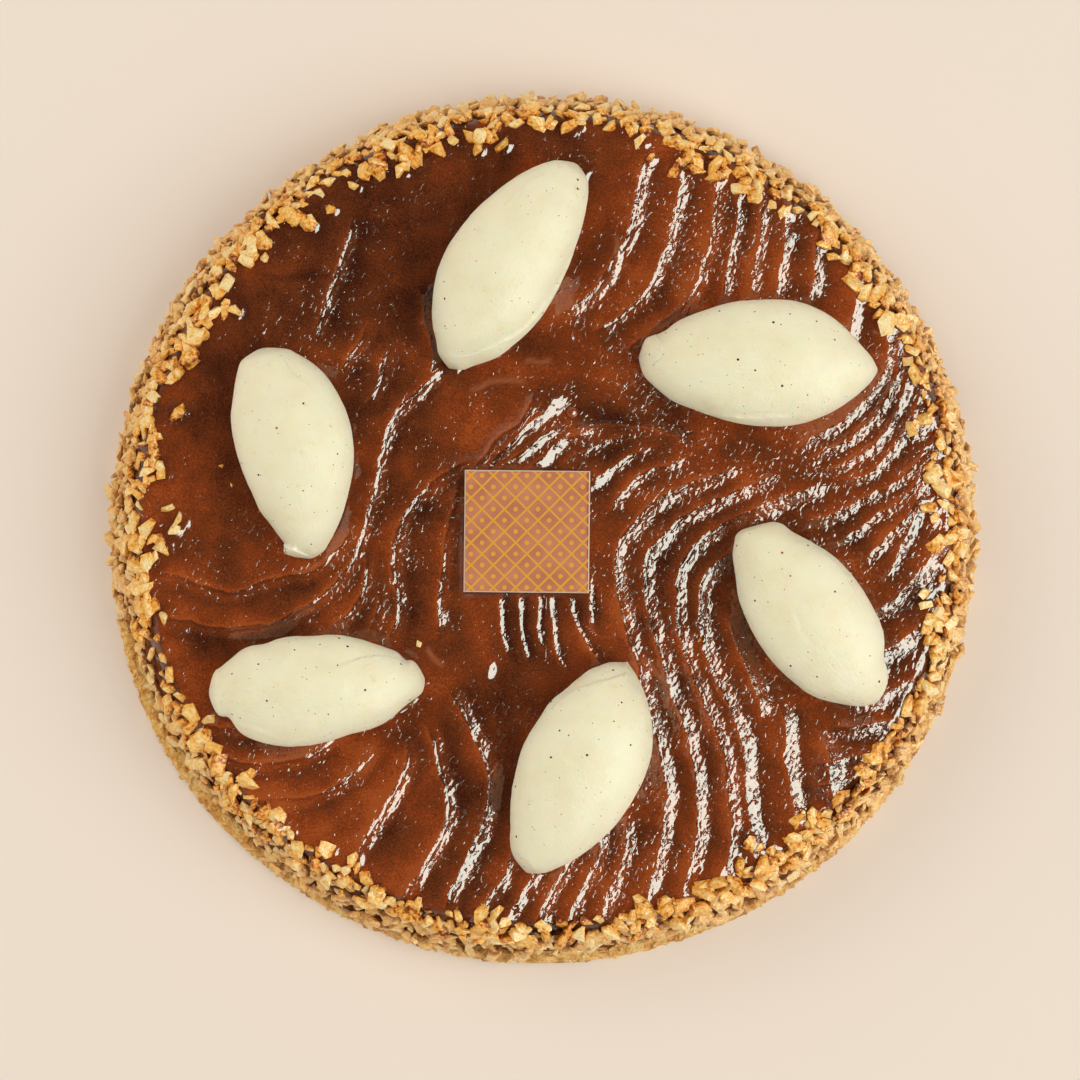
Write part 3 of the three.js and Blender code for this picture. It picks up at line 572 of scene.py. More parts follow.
# %% Height of the glaze
APPLE_MIDDLE = np.array([0.1, 1.5])
TOP_RADIUS = 109.0  # where the top turns over into the shoulder
SINK = 0.8  # the free glaze lies about so far below what rests on it
LEVEL = SEAT - SINK
RISE = 0.14  # an edge's height over the pitch of its fan
LEE = 0.46  # the width of its steep side over the pitch
LATE_CLIMB = 1.4  # 1 is a straight climb to the edge, and more is a later one
DARK_REACH = 0.28  # how far the darkening past the steep side reaches, over the pitch: pooled caramel and painted shade
EDGE_FADE = 7.0  # an edge dies out over this length at both ends
EDGE_REACH = 3.0  # an edge's own distance is kept this far from it
BLUNT_END = 0.92  # a quenelle's length over that of the level place under it
CREAM_INNER = 0.72  # of a quenelle's half width, up to which the glaze under it is level
PLAQUE_HALF = (17.05, 16.6)  # half its size to the right and away


def slice_relief(x, y):
    """The edges' height, nearness to a crest, darkening past an edge for pooled caramel and painted shade,
    nearness to a steep side, and the nearest edge.
    """
    relief, crest, pool_and_shade, steep, shown = np.zeros((5, *x.shape))
    nearest = np.full(x.shape, np.inf)
    signed = np.full(x.shape, EDGE_REACH)
    for pitch, path in slices:
        low, high = path.min(0) - pitch, path.max(0) + pitch
        near = np.nonzero((x > low[0]) & (x < high[0]) & (y > low[1]) & (y < high[1]))[0]
        across, along, length = nearest_on_path(path, x[near], y[near])
        fade = fade_at_ends(along, length, EDGE_FADE)
        climb = np.clip(1 + across / pitch, 0, 1) ** LATE_CLIMB
        foot = LEE * pitch
        drop = 1 - smooth_step(0, foot, across)
        relief[near] += RISE * pitch * np.where(across < 0, climb, drop) * fade
        # Past the steep side the caramel darkens: pooled caramel, and painted shade in the hollow.
        fading_dark = np.exp(-np.maximum(across - foot, 0) / (DARK_REACH * pitch))
        past = fading_dark * smooth_step(0.3 * foot, foot, across)
        on_steep = np.exp(-((across - 0.5 * foot) / (0.6 * foot)) ** 2)
        on_crest = np.where(across < 0, climb ** 2, drop)
        for kept, found in ((crest, on_crest), (pool_and_shade, past), (steep, on_steep)):
            kept[near] = np.maximum(kept[near], found * fade)
        faint = np.abs(across) + EDGE_REACH * (1 - fade)
        closer = faint < nearest[near]
        for kept, found in ((nearest, faint), (signed, across), (shown, fade)):
            kept[near[closer]] = found[closer]
    for depth, half_width, path in CREASES:
        across, along, length = nearest_on_path(smooth_path(path), x, y)
        fade = fade_at_ends(along, length, EDGE_FADE)
        valley = (1 - smooth_step(0, half_width, np.abs(across))) * fade
        relief -= depth * valley
        # The crease's valley darkens as well, as painted shade.
        pool_and_shade = np.maximum(pool_and_shade, valley)
    turn = math.pi * np.clip(signed / EDGE_REACH, -1, 1)
    return relief, crest, pool_and_shade, steep, np.stack([np.cos(turn), np.sin(turn), shown], -1)


def off_plaque(x, y):
    """How far a point lies outside the plaque, or 0 under it."""
    return np.maximum(0, np.maximum(
        np.abs(x - PLAQUE_MIDDLE[0]) - PLAQUE_HALF[0],
        np.abs(y - PLAQUE_MIDDLE[1]) - PLAQUE_HALF[1],
    ))


def under_cream(x, y):
    """1 where a quenelle rests on the glaze, 0 where the glaze is free."""
    reach = np.full(x.shape, np.inf)
    for quenelle in QUENELLES:
        turn = math.radians(quenelle["turn"])
        dx, dy = x - quenelle["x"], y - quenelle["y"]
        along = (dx * math.cos(turn) + dy * math.sin(turn)) / (quenelle["length"] / 2)
        half, middle = cross_width(quenelle, np.clip(along, -BLUNT_END, BLUNT_END))
        across = -dx * math.sin(turn) + dy * math.cos(turn)
        reach = np.minimum(reach, np.maximum(np.abs(across - middle) / half, BLUNT_END * np.abs(along)))
    return 1 - smooth_step(CREAM_INNER, 1.0, reach)


def blob(x, y, middle_x, middle_y, reach):
    """1 in the middle of a round place, and fading to 0 over about its reach."""
    return np.exp(-((x - middle_x) ** 2 + (y - middle_y) ** 2) / reach ** 2)


PRESSED_PLACES = [  # place, reach, and how much more of its height an edge keeps there
    (40, 75, 35, -0.37), (15, -95, 24, -0.38), (-66, -80, 24, -0.12), (-36, 5, 20, -0.28),
    (-8, 22, 13, 0.74), (92, 20, 30, 0.16), (-57, 70, 16, -0.22), (70, -60, 35, 0.21),
    (1, -26, 14, -0.22), (22, 28, 10, -0.35), (38, -8, 14, -0.07),
]
KEPT_ON_LEFT = 0.6
KEPT_MORE_ON_RIGHT = 0.28


def pressed(x, y):
    """How much of its height an edge keeps. The slices on the left were pressed flatter."""
    changed = sum(more * blob(x, y, *place) for *place, more in PRESSED_PLACES)
    return KEPT_ON_LEFT + KEPT_MORE_ON_RIGHT * smooth_step(-35, 8, x) + changed


# %% Slice tips that stand up, and the whole surface
TIPS = [  # place, reach and height
    (0.9, 34.8, 3.6, 1.5), (-34.5, -33.5, 2.5, 0.7), (-15.5, -36.7, 2.2, 0.7), (-16, -39.5, 2.1, 0.6),
]
SHOULDER = (0.93, 1.06)  # where the top bends down, over its radius
SHOULDER_DROP = 1.4
LOST_AT_RIM = 0.3  # of an edge's height
LOWERED = 0.5  # the relief starts so far below the level, and its edges reach above it
PLAQUE_SKIRT = (1.8, 6)  # the glaze is smooth, and lifted, so far round the plaque


def glaze_surface(x, y):
    """Height of the glaze above the table, and then as slice_relief."""
    wander_x = layered_noise(x, y, (0.7, 9, 1), (0.4, 2.6, 2))
    wander_y = layered_noise(x, y, (0.7, 9, 3), (0.4, 2.6, 4))
    relief, crest, pool_and_shade, steep, edge = slice_relief(x + wander_x, y + wander_y)
    outwards = np.hypot(x - APPLE_MIDDLE[0], y - APPLE_MIDDLE[1]) / TOP_RADIUS
    waves = 0.35 * np.sin(x / 19 + 0.7) * np.sin(y / 23 + 1.9) + 0.25 * np.sin((x + y) / 13)
    ripples = layered_noise(x, y, (0.1, 4, 5), (0.05, 1.7, 6))
    kept = pressed(x, y) * (1 - LOST_AT_RIM * smooth_step(SHOULDER[0], 1, outwards))
    relief = relief * kept + waves + ripples - LOWERED
    for *place, rise in TIPS:
        relief = relief + rise * blob(x, y, *place)
    cream = under_cream(x, y)
    flat, lifted = (
        np.maximum(cream, 1 - smooth_step(0, skirt, off_plaque(x, y))) for skirt in PLAQUE_SKIRT
    )
    shoulder = SHOULDER_DROP * smooth_step(*SHOULDER, outwards)
    height = LEVEL + relief * (1 - flat) + SINK * lifted - shoulder
    edge[..., 2] *= 1 - flat
    # Under and at the foot of a quenelle the caramel is darkened by half, as painted shade.
    return height, crest, np.maximum(pool_and_shade, 0.5 * cream), steep, edge


# %% [markdown]
# ## Where the nuts lie
#
# The tart's edge is pressed into chopped nuts while the caramel is warm. They cover the side from the
# pastry up, and the topmost ones lie on the glaze in an uneven border with a few strays further in.
# They could be scattered at random over a surface, but here the border has a known shape: some nuts
# stand out, some lie far in, and the border is thin in two places. So a rule sets out rows of places,
# the lists give the exceptions, and Geometry Nodes only puts a chip on each place.

# %% The side's profile, from the rim down: radius and height above the layer's floor, then its middle
APPLE_SIDE = [
    (110.4, 19.7, 0.1, 1.5),
    (111.4, 18.5, 0.1, 1.4),
    (112.2, 16.8, 0.05, 1.2),
    (113.1, 14.5, 0.0, 1.0),
    (113.9, 12.0, 0.0, 0.8),
    (114.6, 8.5, -0.1, 0.4),
    (115.3, 5.0, -0.2, 0.1),
    (116.0, 1.2, -0.3, -0.3),
    (115.2, 0.0, -0.3, -0.3),
]


def side_at(height):
    """The side's radius and middle at heights above the layer's floor."""
    upwards = np.array([(TOP_RADIUS, 20.4, *APPLE_MIDDLE), *APPLE_SIDE])[::-1]
    return [np.interp(height, upwards[:, 1], upwards[:, k]) for k in (0, 2, 3)]


# %% Exceptions in the border, by bearing in degrees
PROUD_NUTS = [  # bearing, and how far out they reach
    (0, 120.3), (27, 118.6), (52, 120.4), (86, 121), (92, 120), (108, 120), (159, 120.5), (175, 121.9),
    (246, 120.8), (262, 121), (312, 120.4), (324, 121.5), (336, 121.6), (343, 121.5), (357, 120.6),
]
STRAY_NUTS = [  # bearing, and distance from the middle
    (3, 104.5), (9, 106), (15, 103), (43, 108), (67, 105.5), (70, 103.5), (76, 108), (98, 107), (100, 105),
    (109, 106), (112, 105), (128, 107), (136, 106), (145, 103), (151, 107), (157, 108), (172, 105),
    (179, 99.5), (183, 104), (191, 108), (229, 108), (236, 106), (240, 104.5), (243, 107), (283, 108),
    (296, 107.5), (303, 102.5), (311, 105), (313, 107), (346, 107.5), (350, 104.5), (357, 106),
]
BARE_FOOT = [(193, 226), (268, 292)]
THIN_BORDER = [(194, 204), (337, 342)]


def within(spans, bearing):
    """Whether a bearing lies in one of the spans."""
    return any(start < bearing < end for start, end in spans)


# %% Rows of nuts up the side and over the rim
random = np.random.default_rng(7)
nuts = []  # each one's place, width, outward direction, and 1 on the side or 0 on top


def add_nut(bearing, radius, middle, height, width, slope, side):
    """Adds a nut. Slope is the lean of the surface it sticks to, 90 on an upright wall."""
    bearing, slope = math.radians(bearing), math.radians(slope)
    out = np.array([math.cos(bearing), math.sin(bearing)])
    place = np.asarray(middle) + out * radius
    nuts.append((*place, height, width, *(out * math.sin(slope)), math.cos(slope), side))


SIDE_ROWS = np.arange(1.6, 20.5, 2.6)
SIDE_COUNT = 190
SIDE_WIDTHS = (2.9, 5.0)
MOST_PROUD = 0.35  # of a nut's width, how far it may stand out
SIDE_LOSS = 0.4  # the share that is missing where the border is thin
SIDE_SLOPE = 75
SIDE_TOP = 20  # nuts look as on the top from here up, and as on the side from SIDE_BLEND below it
SIDE_BLEND = 6
BARE_HEIGHT = 5  # a bare foot is bare so far up
FLARE = 1.3  # the lowest nuts stand out so far, over the pastry
FLARE_HEIGHT = 8
PROUD_HEIGHTS = (3.5, 8.5)
PROUD_WIDTHS = (3.8, 4.8)
PROUD_LEAN = 0.12  # how far the upper one stands further in, over the height between them
PROUD_SLOPE = 60

for row, row_height in enumerate(SIDE_ROWS):
    for k in range(SIDE_COUNT):
        bearing = 360 / SIDE_COUNT * (k + 0.5 * (row % 2) + random.uniform(-0.4, 0.4)) % 360
        height = row_height + random.uniform(-1, 1)
        width = random.uniform(*SIDE_WIDTHS)
        proud = random.uniform(0.0, MOST_PROUD) * width
        missing = within(THIN_BORDER, bearing) and random.random() < SIDE_LOSS
        bare_foot = within(BARE_FOOT, bearing)
        if missing or (height < BARE_HEIGHT and bare_foot):
            continue
        radius, *middle = side_at(height)
        flare = 0 if bare_foot else FLARE * max(0, 1 - height / FLARE_HEIGHT)
        side = min(1, (SIDE_TOP - height) / SIDE_BLEND)
        add_nut(bearing, radius + proud + flare, middle, APPLE_FLOOR + height, width, SIDE_SLOPE, side)
for bearing, reach in PROUD_NUTS:
    for height in PROUD_HEIGHTS:
        width = random.uniform(*PROUD_WIDTHS)
        radius = reach - width / 2 - PROUD_LEAN * height
        beside = bearing + random.uniform(-1, 1)
        add_nut(beside, radius, (0, 0), APPLE_FLOOR + height, width, PROUD_SLOPE, 1)
print("nuts on the side:", len(nuts))

# %% The border on top
RIM_ROWS = [  # radius, how many, least and greatest width, and the share that is there
    (113.0, 170, 3.2, 6.4, 0.98),
    (111.2, 160, 3.4, 6.8, 0.92),
    (109.3, 150, 3.4, 7.0, 0.76),
    (107.4, 130, 3.2, 7.0, 0.38),
    (105.4, 120, 2.8, 6.0, 0.05),
]
OUTER_ROWS = 110  # the rows from this radius on are less patchy
OUTER_PATCHINESS = 0.5
INNER_PATCHINESS = 0.85
TOP_LOSS = 0.6  # the share that is missing where the border is thin
SMALL_FIRST = 1.3  # 1 gives all widths alike, and more gives more of the small ones
STACKED = 1.3  # how much higher a nut on other nuts lies
STACKED_SHARE = 0.22
LYING = 0.22  # how high a nut's middle lies, over its width
FALL = 0.8  # the border falls so far for each millimetre past the top's radius
TOP_SLOPE = 12
SLOPE_GAIN = 14  # degrees for each millimetre past it

top_nuts = []
for radius, count, least, most, share in RIM_ROWS:
    for k in range(count):
        bearing = 360 / count * (k + random.uniform(-0.45, 0.45)) % 360
        patchiness = OUTER_PATCHINESS if radius > OUTER_ROWS else INNER_PATCHINESS
        patchy = patchiness * float(soft_noise(bearing / 3.5, radius / 4, 1.0, 31))
        if random.random() > share + patchy:
            continue
        if within(THIN_BORDER, bearing) and random.random() < TOP_LOSS:
            continue
        at = radius + random.uniform(-1.1, 1.1)
        top_nuts.append((bearing, at, least + (most - least) * random.random() ** SMALL_FIRST))
for bearing, radius in STRAY_NUTS:
    top_nuts.append((bearing, radius, random.uniform(4.2, 5.4)))
    for _ in range(random.integers(1, 4)):
        beside = bearing + random.uniform(-1.9, 1.9)
        top_nuts.append((beside, radius + random.uniform(0.5, 3.5), random.uniform(2.8, 4.4)))
top_nuts = np.array(top_nuts)
top_angle = np.radians(top_nuts[:, 0])
top_x, top_y = top_nuts[:, 1] * np.cos(top_angle), top_nuts[:, 1] * np.sin(top_angle)
top_surface = glaze_surface(top_x, top_y)[0]
for (bearing, radius, width), surface in zip(top_nuts, top_surface):
    over = max(0.0, radius - TOP_RADIUS)
    stacked = STACKED if random.random() < STACKED_SHARE else 0.0
    height = surface - FALL * over + LYING * width + stacked
    add_nut(bearing, radius, (0, 0), height, width, TOP_SLOPE + SLOPE_GAIN * over, 0)

# %% Loose bits on the glaze: place and width
bits = np.array([(-34.3, -31.7, 2.0), (-88, 16.8, 1.4), (-85.2, 11.6, 1.3), (42.2, -30.7, 1.5)])
for (x, y, width), surface in zip(bits, glaze_surface(bits[:, 0], bits[:, 1])[0]):
    nuts.append((x, y, surface + 0.2 * width, width, 0, 0, 1, 0))
print("nuts in all:", len(nuts))

# %% [markdown]
# ## The apple layer's mesh
#
# A round sheet can be made as rings, which crowd at the middle, or as a square net pressed into a disc,
# whose cells all keep the same area. The net is used here: it gives even cells everywhere. Its
# border then runs down the shoulder and the side in rings, and a fan closes it underneath.


# %% A square net pressed into a disc
def disc_net(cells, radius):
    """Corners of an even net in a disc, its quads, and the border's corners counterclockwise."""
    line = np.linspace(-1, 1, cells + 1)
    a, b = np.meshgrid(line, line, indexing="ij")
    wide = np.abs(a) >= np.abs(b)
    reach = np.where(wide, a, b)
    other = np.where(wide, b, a)
    safe = np.where(reach == 0, 1, reach)
    angle = np.where(wide, math.pi / 4 * other / safe, math.pi / 2 - math.pi / 4 * other / safe)
    x, y = radius * reach * np.cos(angle), radius * reach * np.sin(angle)
    number = np.arange((cells + 1) ** 2).reshape(cells + 1, cells + 1)
    quads = np.stack([number[:-1, :-1], number[1:, :-1], number[1:, 1:], number[:-1, 1:]], -1)
    border = np.concatenate([number[:-1, 0], number[-1, :-1], number[:0:-1, -1], number[0, :0:-1]])
    return x.ravel(), y.ravel(), quads.reshape(-1, 4), border


# %% Jelly round the nuts and up the plaque
NUT_CLIMB = 0.75  # how far the glaze climbs up a nut
NUT_REACH = 0.62  # and how far out, over the nut's width
PLAQUE_CLIMB = 0.3
PLAQUE_REACH = 1.1


def meniscus(x, y):
    """How far the wet glaze climbs where a nut stands in it, and up the plaque's edge."""
    climb = np.zeros(x.shape)
    for nut_x, nut_y, width in zip(top_x, top_y, top_nuts[:, 2]):
        near = np.nonzero((np.abs(x - nut_x) < width) & (np.abs(y - nut_y) < width))[0]
        away = np.hypot(x[near] - nut_x, y[near] - nut_y) / (NUT_REACH * width)
        climb[near] = np.maximum(climb[near], NUT_CLIMB * np.exp(-away ** 4))
    return np.maximum(climb, PLAQUE_CLIMB * (1 - smooth_step(0, PLAQUE_REACH, off_plaque(x, y))))


def wrinkling(x, y, steep):
    """How strongly the glaze is wrinkled: on the steep sides, least on the left and most on the right."""
    east = blob(x, y, 92, 8, 36)
    south_east = blob(x, y, 70, -55, 40)
    rightwards = smooth_step(-30, 30, x)
    patches = (0.5 + 0.5 * rightwards) * layered_noise(x, y, (0.25, 11, 8), (0.2, 4, 10))
    least = 0.08 + 0.2 * rightwards + east + 0.4 * south_east
    most = 0.42 + 0.26 * rightwards + east + 0.45 * south_east
    smooth = 0.4 * blob(x, y, -7, 23, 12)
    return np.maximum(least + (most - least) * steep + patches - smooth, 0.05)


def denting(x, y, steep):
    """How many small dents the glaze has: clusters, mostly near the steep sides."""
    clusters = layered_noise(x, y, (1, 9, 41), (0.6, 3.5, 42))
    north_east = blob(x, y, 30, 42, 16)
    rightwards = smooth_step(-40, 30, x)
    return np.clip(0.1 + 0.5 * clusters + 0.5 * steep + 0.25 * rightwards + 0.5 * north_east, 0, 1)


TONE_AND_SHADE_PLACES = [  # place, reach and how much lighter: the caramel's own tone, and painted shade beside the quenelles and the plaque and in a crease
    (-48, 72, 50, -0.23), (-70, -72, 24, 0.19), (36, 78, 30, 0.16), (-13, -36, 22, -0.09),
    (34, 10, 24, -0.02), (43, -12, 17, -0.16), (-82, 30, 22, -0.12), (-86, 2, 18, 0.02),
    (8, -92, 20, 0.1), (75, -70, 30, 0.03), (-20, 98, 20, -0.08), (-72, -60, 7, -0.2),
    (-10, 27, 14, 0.04), (16, 30.5, 7, -0.12), (28, 29.5, 8, -0.14), (-6, -21, 9, -0.09),
    (44, 27, 9, -0.08), (-83, 10, 10, -0.1), (-93, -46, 8, 0.08), (-1, -46, 8, -0.1),
    (-12, -67, 8, 0.12), (-32, 58, 7, -0.08),
]
VEIN_HEIGHT = 0.3
VEIN_HALF = 0.65
VEINS = [  # folds in the glaze's skin
    [(25.4, -35.6), (27.7, -36.4), (30.4, -39.5), (32.9, -41.6), (34.2, -44.3), (33.5, -47), (34.2, -49.1)],
    [(-21.1, 37.3), (-17.6, 38.1), (-14.9, 39.6), (-11, 40), (-7.5, 40), (-4.7, 39.2)],
    [(-5.9, 44.1), (-4.3, 45.5), (-1.2, 44.9), (2.7, 45.9)],
    [(-32.4, -31.9), (-30.5, -35.2), (-28.2, -37.2), (-26.6, -37.8)],
    [(13.8, 62), (18.5, 68), (20, 74), (19.6, 80)],
]


def veining(x, y):
    """1 on a fold of the glaze's skin, and 0 away from it."""
    veins = np.zeros(x.shape)
    for path in VEINS:
        across, along, length = nearest_on_path(smooth_path(path), x, y)
        fade = fade_at_ends(along, length, 2)
        veins = np.maximum(veins, np.exp(-(across / VEIN_HALF) ** 2) * fade)
    return veins


def caramel_tone_and_shade(x, y):
    """How much lighter or darker the caramel is in the large, darkest at the upper left, with painted shade
    beside the quenelles and the plaque and in a crease.
    """
    light = sum(lighter * blob(x, y, *place) for *place, lighter in TONE_AND_SHADE_PLACES)
    return -0.09 + light + 0.09 * soft_noise(x + 200, y, 30, 9)


# %% The glazed apple
NET_CELLS = 280  # along each side of the net
OUT_OF_ROUND = 0.3  # the tart was pressed by hand
SIDE_WAVES = 0.25

net_x, net_y, quads, rim = disc_net(NET_CELLS, TOP_RADIUS)
net_x, net_y = net_x + APPLE_MIDDLE[0], net_y + APPLE_MIDDLE[1]
net_z, crests, pools_and_shade, steeps, edges = glaze_surface(net_x, net_y)
veins = veining(net_x, net_y)
net_z = net_z + meniscus(net_x, net_y) + VEIN_HEIGHT * veins
corners = [np.column_stack([net_x, net_y, net_z])]
faces = quads.tolist()
rim_angle = np.arctan2(net_y[rim] - APPLE_MIDDLE[1], net_x[rim] - APPLE_MIDDLE[0])
ring = rim
count = len(net_x)
for radius, height, x, y in APPLE_SIDE:
    waves = SIDE_WAVES * soft_noise(rim_angle * 40, height, 3, 7)
    out = radius + OUT_OF_ROUND * np.sin(5 * rim_angle) + waves
    corners.append(np.column_stack([
        x + out * np.cos(rim_angle),
        y + out * np.sin(rim_angle),
        np.full(len(rim), APPLE_FLOOR + height),
    ]))
    next_ring = count + np.arange(len(rim))
    faces += band(next_ring, ring)
    ring = next_ring
    count += len(rim)
corners.append([[APPLE_MIDDLE[0], APPLE_MIDDLE[1], APPLE_FLOOR]])
faces += fan(count, ring[::-1])
glazed_apple = make_piece("glazed_apple", np.vstack(corners), faces)
side_count = len(rim) * len(APPLE_SIDE) + 1
# On the side's rings the caramel is darkened, as painted shade between the nuts.
for field, on_top, on_side in (
    ("crest", crests, 0.0),
    ("pool_and_shade", pools_and_shade, 0.6),
    ("tone_and_shade", caramel_tone_and_shade(net_x, net_y), -0.2),
    ("vein", veins, 0.0),
    ("wrinkling", wrinkling(net_x, net_y, steeps), 0.6),
    ("denting", denting(net_x, net_y, steeps), 0.0),
    ("edge", edges, (-1.0, 0.0, 0.0)),
):
    on_side = np.full((side_count, *on_top.shape[1:]), on_side)
    store_on_corners(glazed_apple, field, np.concatenate([on_top, on_side]))

# %% [markdown]
# ### Caramel glaze
#
# Apple cooked in caramel and coated with a clear jelly. The jelly is smooth and wet, so its
# reflections are sharp. It looks darkest where it pools past an edge, with painted shade there, in
# creases and at the quenelles' feet, and turns to amber towards a crest. Small wrinkles, drawn out along
# one direction, break the reflections into dashes.

# %% The depth of the caramel's colour
caramel, add = new_material("caramel_glaze")
place = add("TexCoord").outputs["Object"]
crest, pool_and_shade, tone_and_shade, vein, wrinkled, dented = (
    add("Attribute", attribute_name=field).outputs["Fac"]
    for field in ("crest", "pool_and_shade", "tone_and_shade", "vein", "wrinkling", "denting")
)
clouds = add("TexNoise", {"Vector": place, "Scale": 1 / (13 * MM), "Detail": 5.0})
grain = add("TexNoise", {"Vector": place, "Scale": 1 / (0.45 * MM), "Detail": 0.0})
depth = clouds
# Lighter towards a crest, darker past an edge with painted shade, and grained.
for tone, share in ((crest, 0.12), (pool_and_shade, -0.18), (grain, 0.44)):
    depth = add("Math", {0: tone, 1: share, 2: depth}, operation="MULTIPLY_ADD")
# The tone in the large, with its painted shade, is added.
by_place = add("Math", {0: depth, 1: tone_and_shade}, operation="ADD")

# %% [markdown]
# An edge is a crisp thing: a fine pale line on its crest, then a dark side in painted shade. The mesh is
# too coarse for that, so each corner keeps its distance to the nearest edge, and the material draws the
# line and the shade from it.
# Halfway between two edges the distance jumps from one side to the other. It is kept as the sine and
# cosine of an angle, because both ends of its range are then the same and the jump leaves no false line.

# %% The distance to the nearest edge, from 0 on its gentle side to 1 past its steep side
RAGGED = 0.8  # the edge's line wanders by so much of a turn's angle

edge = add("Attribute", attribute_name="edge").outputs["Vector"]
edge_cosine, edge_sine, edge_shown = add("SeparateXYZ", {0: edge}).outputs
angle = add("Math", {0: edge_sine, 1: edge_cosine}, operation="ARCTAN2")
ragged = add("TexNoise", {"Vector": place, "Scale": 1 / (1.5 * MM), "Detail": 2.0})
ragged_angle = add("Math", {0: ragged, 1: RAGGED, 2: angle}, operation="MULTIPLY_ADD")
across_edge = add("MapRange", {
    "Value": ragged_angle, "From Min": RAGGED / 2 - math.pi, "From Max": RAGGED / 2 + math.pi,
})

# %% The caramel's colour
# The curve gives a pale line on the crest and painted shade on the steep side past it.
edge_line_and_shade = add("FloatCurve", {"Value": across_edge}, points=[
    (0, 0.5), (0.34, 0.55), (0.46, 0.72), (0.5, 0.6), (0.55, 0.1), (0.64, 0.2), (0.78, 0.4), (1, 0.5),
])
from_even = add("Math", {0: edge_line_and_shade, 1: 0.5}, operation="SUBTRACT")
edge_shade = add("Math", {0: from_even, 1: edge_shown}, operation="MULTIPLY")
depth = add("Math", {0: edge_shade, 1: 0.6, 2: by_place}, operation="MULTIPLY_ADD")
tint = add("ValToRGB", {0: depth}, stops=[
    (0.2, "#3e1b0f"), (0.38, "#562a15"), (0.55, "#6f371a"), (0.7, "#893e19"), (0.88, "#a75223"),
])
veined = add("Mix", {0: vein, 6: tint, 7: colour("#9c5c3a")}, data_type="RGBA")

# %% Wrinkles and dents, then the jelly itself
WRINKLE_LEAN = math.radians(58)
WRINKLE_SIZE = (1.9 * MM, 1.25 * MM, 1.5 * MM)
WRINKLE_HEIGHT = 0.3 * MM  # from the lowest to the highest value that the noise could give
DENT_SIZE = (1.5 * MM, 1.0 * MM, 1.3 * MM)
DENT_HEIGHT = 0.5 * MM
EDGE_DROP = 0.22 * MM  # how far the jelly steps down right past an edge


def leaning_noise(size, detail):
    """Noise whose grains have the given size and are drawn out along the wrinkles."""
    leaning = add("Mapping", {
        "Vector": place, "Rotation": (0, 0, WRINKLE_LEAN), "Scale": size,
    }, vector_type="TEXTURE")
    return add("TexNoise", {"Vector": leaning, "Scale": 1.0, "Detail": detail, "Distortion": 0.4})


wrinkle_bump = add("Bump", {
    "Height": leaning_noise(WRINKLE_SIZE, 0.6), "Distance": WRINKLE_HEIGHT, "Strength": wrinkled,
})
least = add("Math", {0: dented, 1: -0.24, 2: 0.8}, operation="MULTIPLY_ADD")
most = add("Math", {0: least, 1: 0.3}, operation="ADD")
dents = add("MapRange", {"Value": leaning_noise(DENT_SIZE, 0.0), "From Min": least, "From Max": most})
dent_bump = add("Bump", {"Height": dents, "Distance": DENT_HEIGHT, "Normal": wrinkle_bump})
edge_height = add("FloatCurve", {"Value": across_edge}, points=[
    (0, 0), (0.3, 0.4), (0.48, 1), (0.64, 0.1), (1, 0),
])
edge_bump = add("Bump", {
    "Height": edge_height, "Distance": EDGE_DROP, "Strength": edge_shown, "Normal": dent_bump,
})
finish_material(add, {
    "Base Color": veined.outputs[2],
    "Roughness": 0.1,
    "IOR": 1.5,
    "Specular IOR Level": 0.3,
    "Coat Weight": 1.0,
    "Coat Roughness": 0.03,
    "Coat IOR": 1.6,
    "Normal": edge_bump,
    "Coat Normal": edge_bump,
})

# %% [markdown]
# The jelly runs a little way over the rim, darkened there by painted shade between the nuts. Below that,
# under its nuts, the side is baked caramel, dull and brown, so it gets a second material, and what shows
# between the nuts stays warm and dark.

# %% Baked caramel
GLAZED_RINGS = 3  # rings of faces over the rim that the jelly covers

side_caramel, add = new_material("baked_caramel")
place = add("TexCoord").outputs["Object"]
baking = add("TexNoise", {"Vector": place, "Scale": 1 / (3 * MM), "Detail": 4.0})
tint = add("ValToRGB", {0: baking}, stops=[(0.35, "#522410"), (0.6, "#8a4c20")])
finish_material(add, {"Base Color": tint, "Roughness": 0.7, "Specular IOR Level": 0.2})

glazed_apple.data.materials.append(caramel)
glazed_apple.data.materials.append(side_caramel)
is_side = np.arange(len(faces)) >= len(quads) + GLAZED_RINGS * len(rim)
glazed_apple.data.polygons.foreach_set("material_index", is_side.astype(np.int32))

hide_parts("apple_layer")
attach(glazed_apple, "root")

# %% [markdown]
# A bubble rose in the caramel and set. It is a small sphere pressed flat, half sunk in the glaze.

# %% A bubble in the glaze
BUBBLE = (7.4, 31.4)
BUBBLE_RADIUS = 1.6
BUBBLE_RISE = 0.3  # its middle stands so far above the glaze
BUBBLE_SQUASH = 0.85

bubble_height = glaze_surface(*(np.array([value]) for value in BUBBLE))[0][0] + BUBBLE_RISE
form = bmesh.new()
bmesh.ops.create_uvsphere(form, u_segments=32, v_segments=16, radius=BUBBLE_RADIUS)
# The sphere's faces come in an order that changes from run to run, so they are sorted.
bubble = make_piece(
    "caramel_bubble",
    [(BUBBLE[0] + v.co.x, BUBBLE[1] + v.co.y, bubble_height + BUBBLE_SQUASH * v.co.z) for v in form.verts],
    sorted([v.index for v in face.verts] for face in form.faces),
)
form.free()
bubble.data.materials.append(caramel)
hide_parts("apple_layer")
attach(bubble, "root")

# %% [markdown]
# ## Nut chips
#
# A chopped nut breaks along flat faces into lopsided blocks. A chip could be sculpted, but a rule does
# as well: a few corners are thrown near the surface of a rounded box, and a skin is drawn tight over
# them. Twenty different chips, each turned at random, are enough for the eye.

# %% Chips of unit width
CHIP_SHAPES = 20
CHIP_CORNERS = 15
HALF_LENGTH = 0.54
HALF_WIDTHS = (0.27, 0.48)
HALF_HEIGHTS = (0.22, 0.4)
BOXINESS = 6  # 2 throws the corners near a ball, and more nearer to a box
CORNER_REACH = (0.8, 1.03)

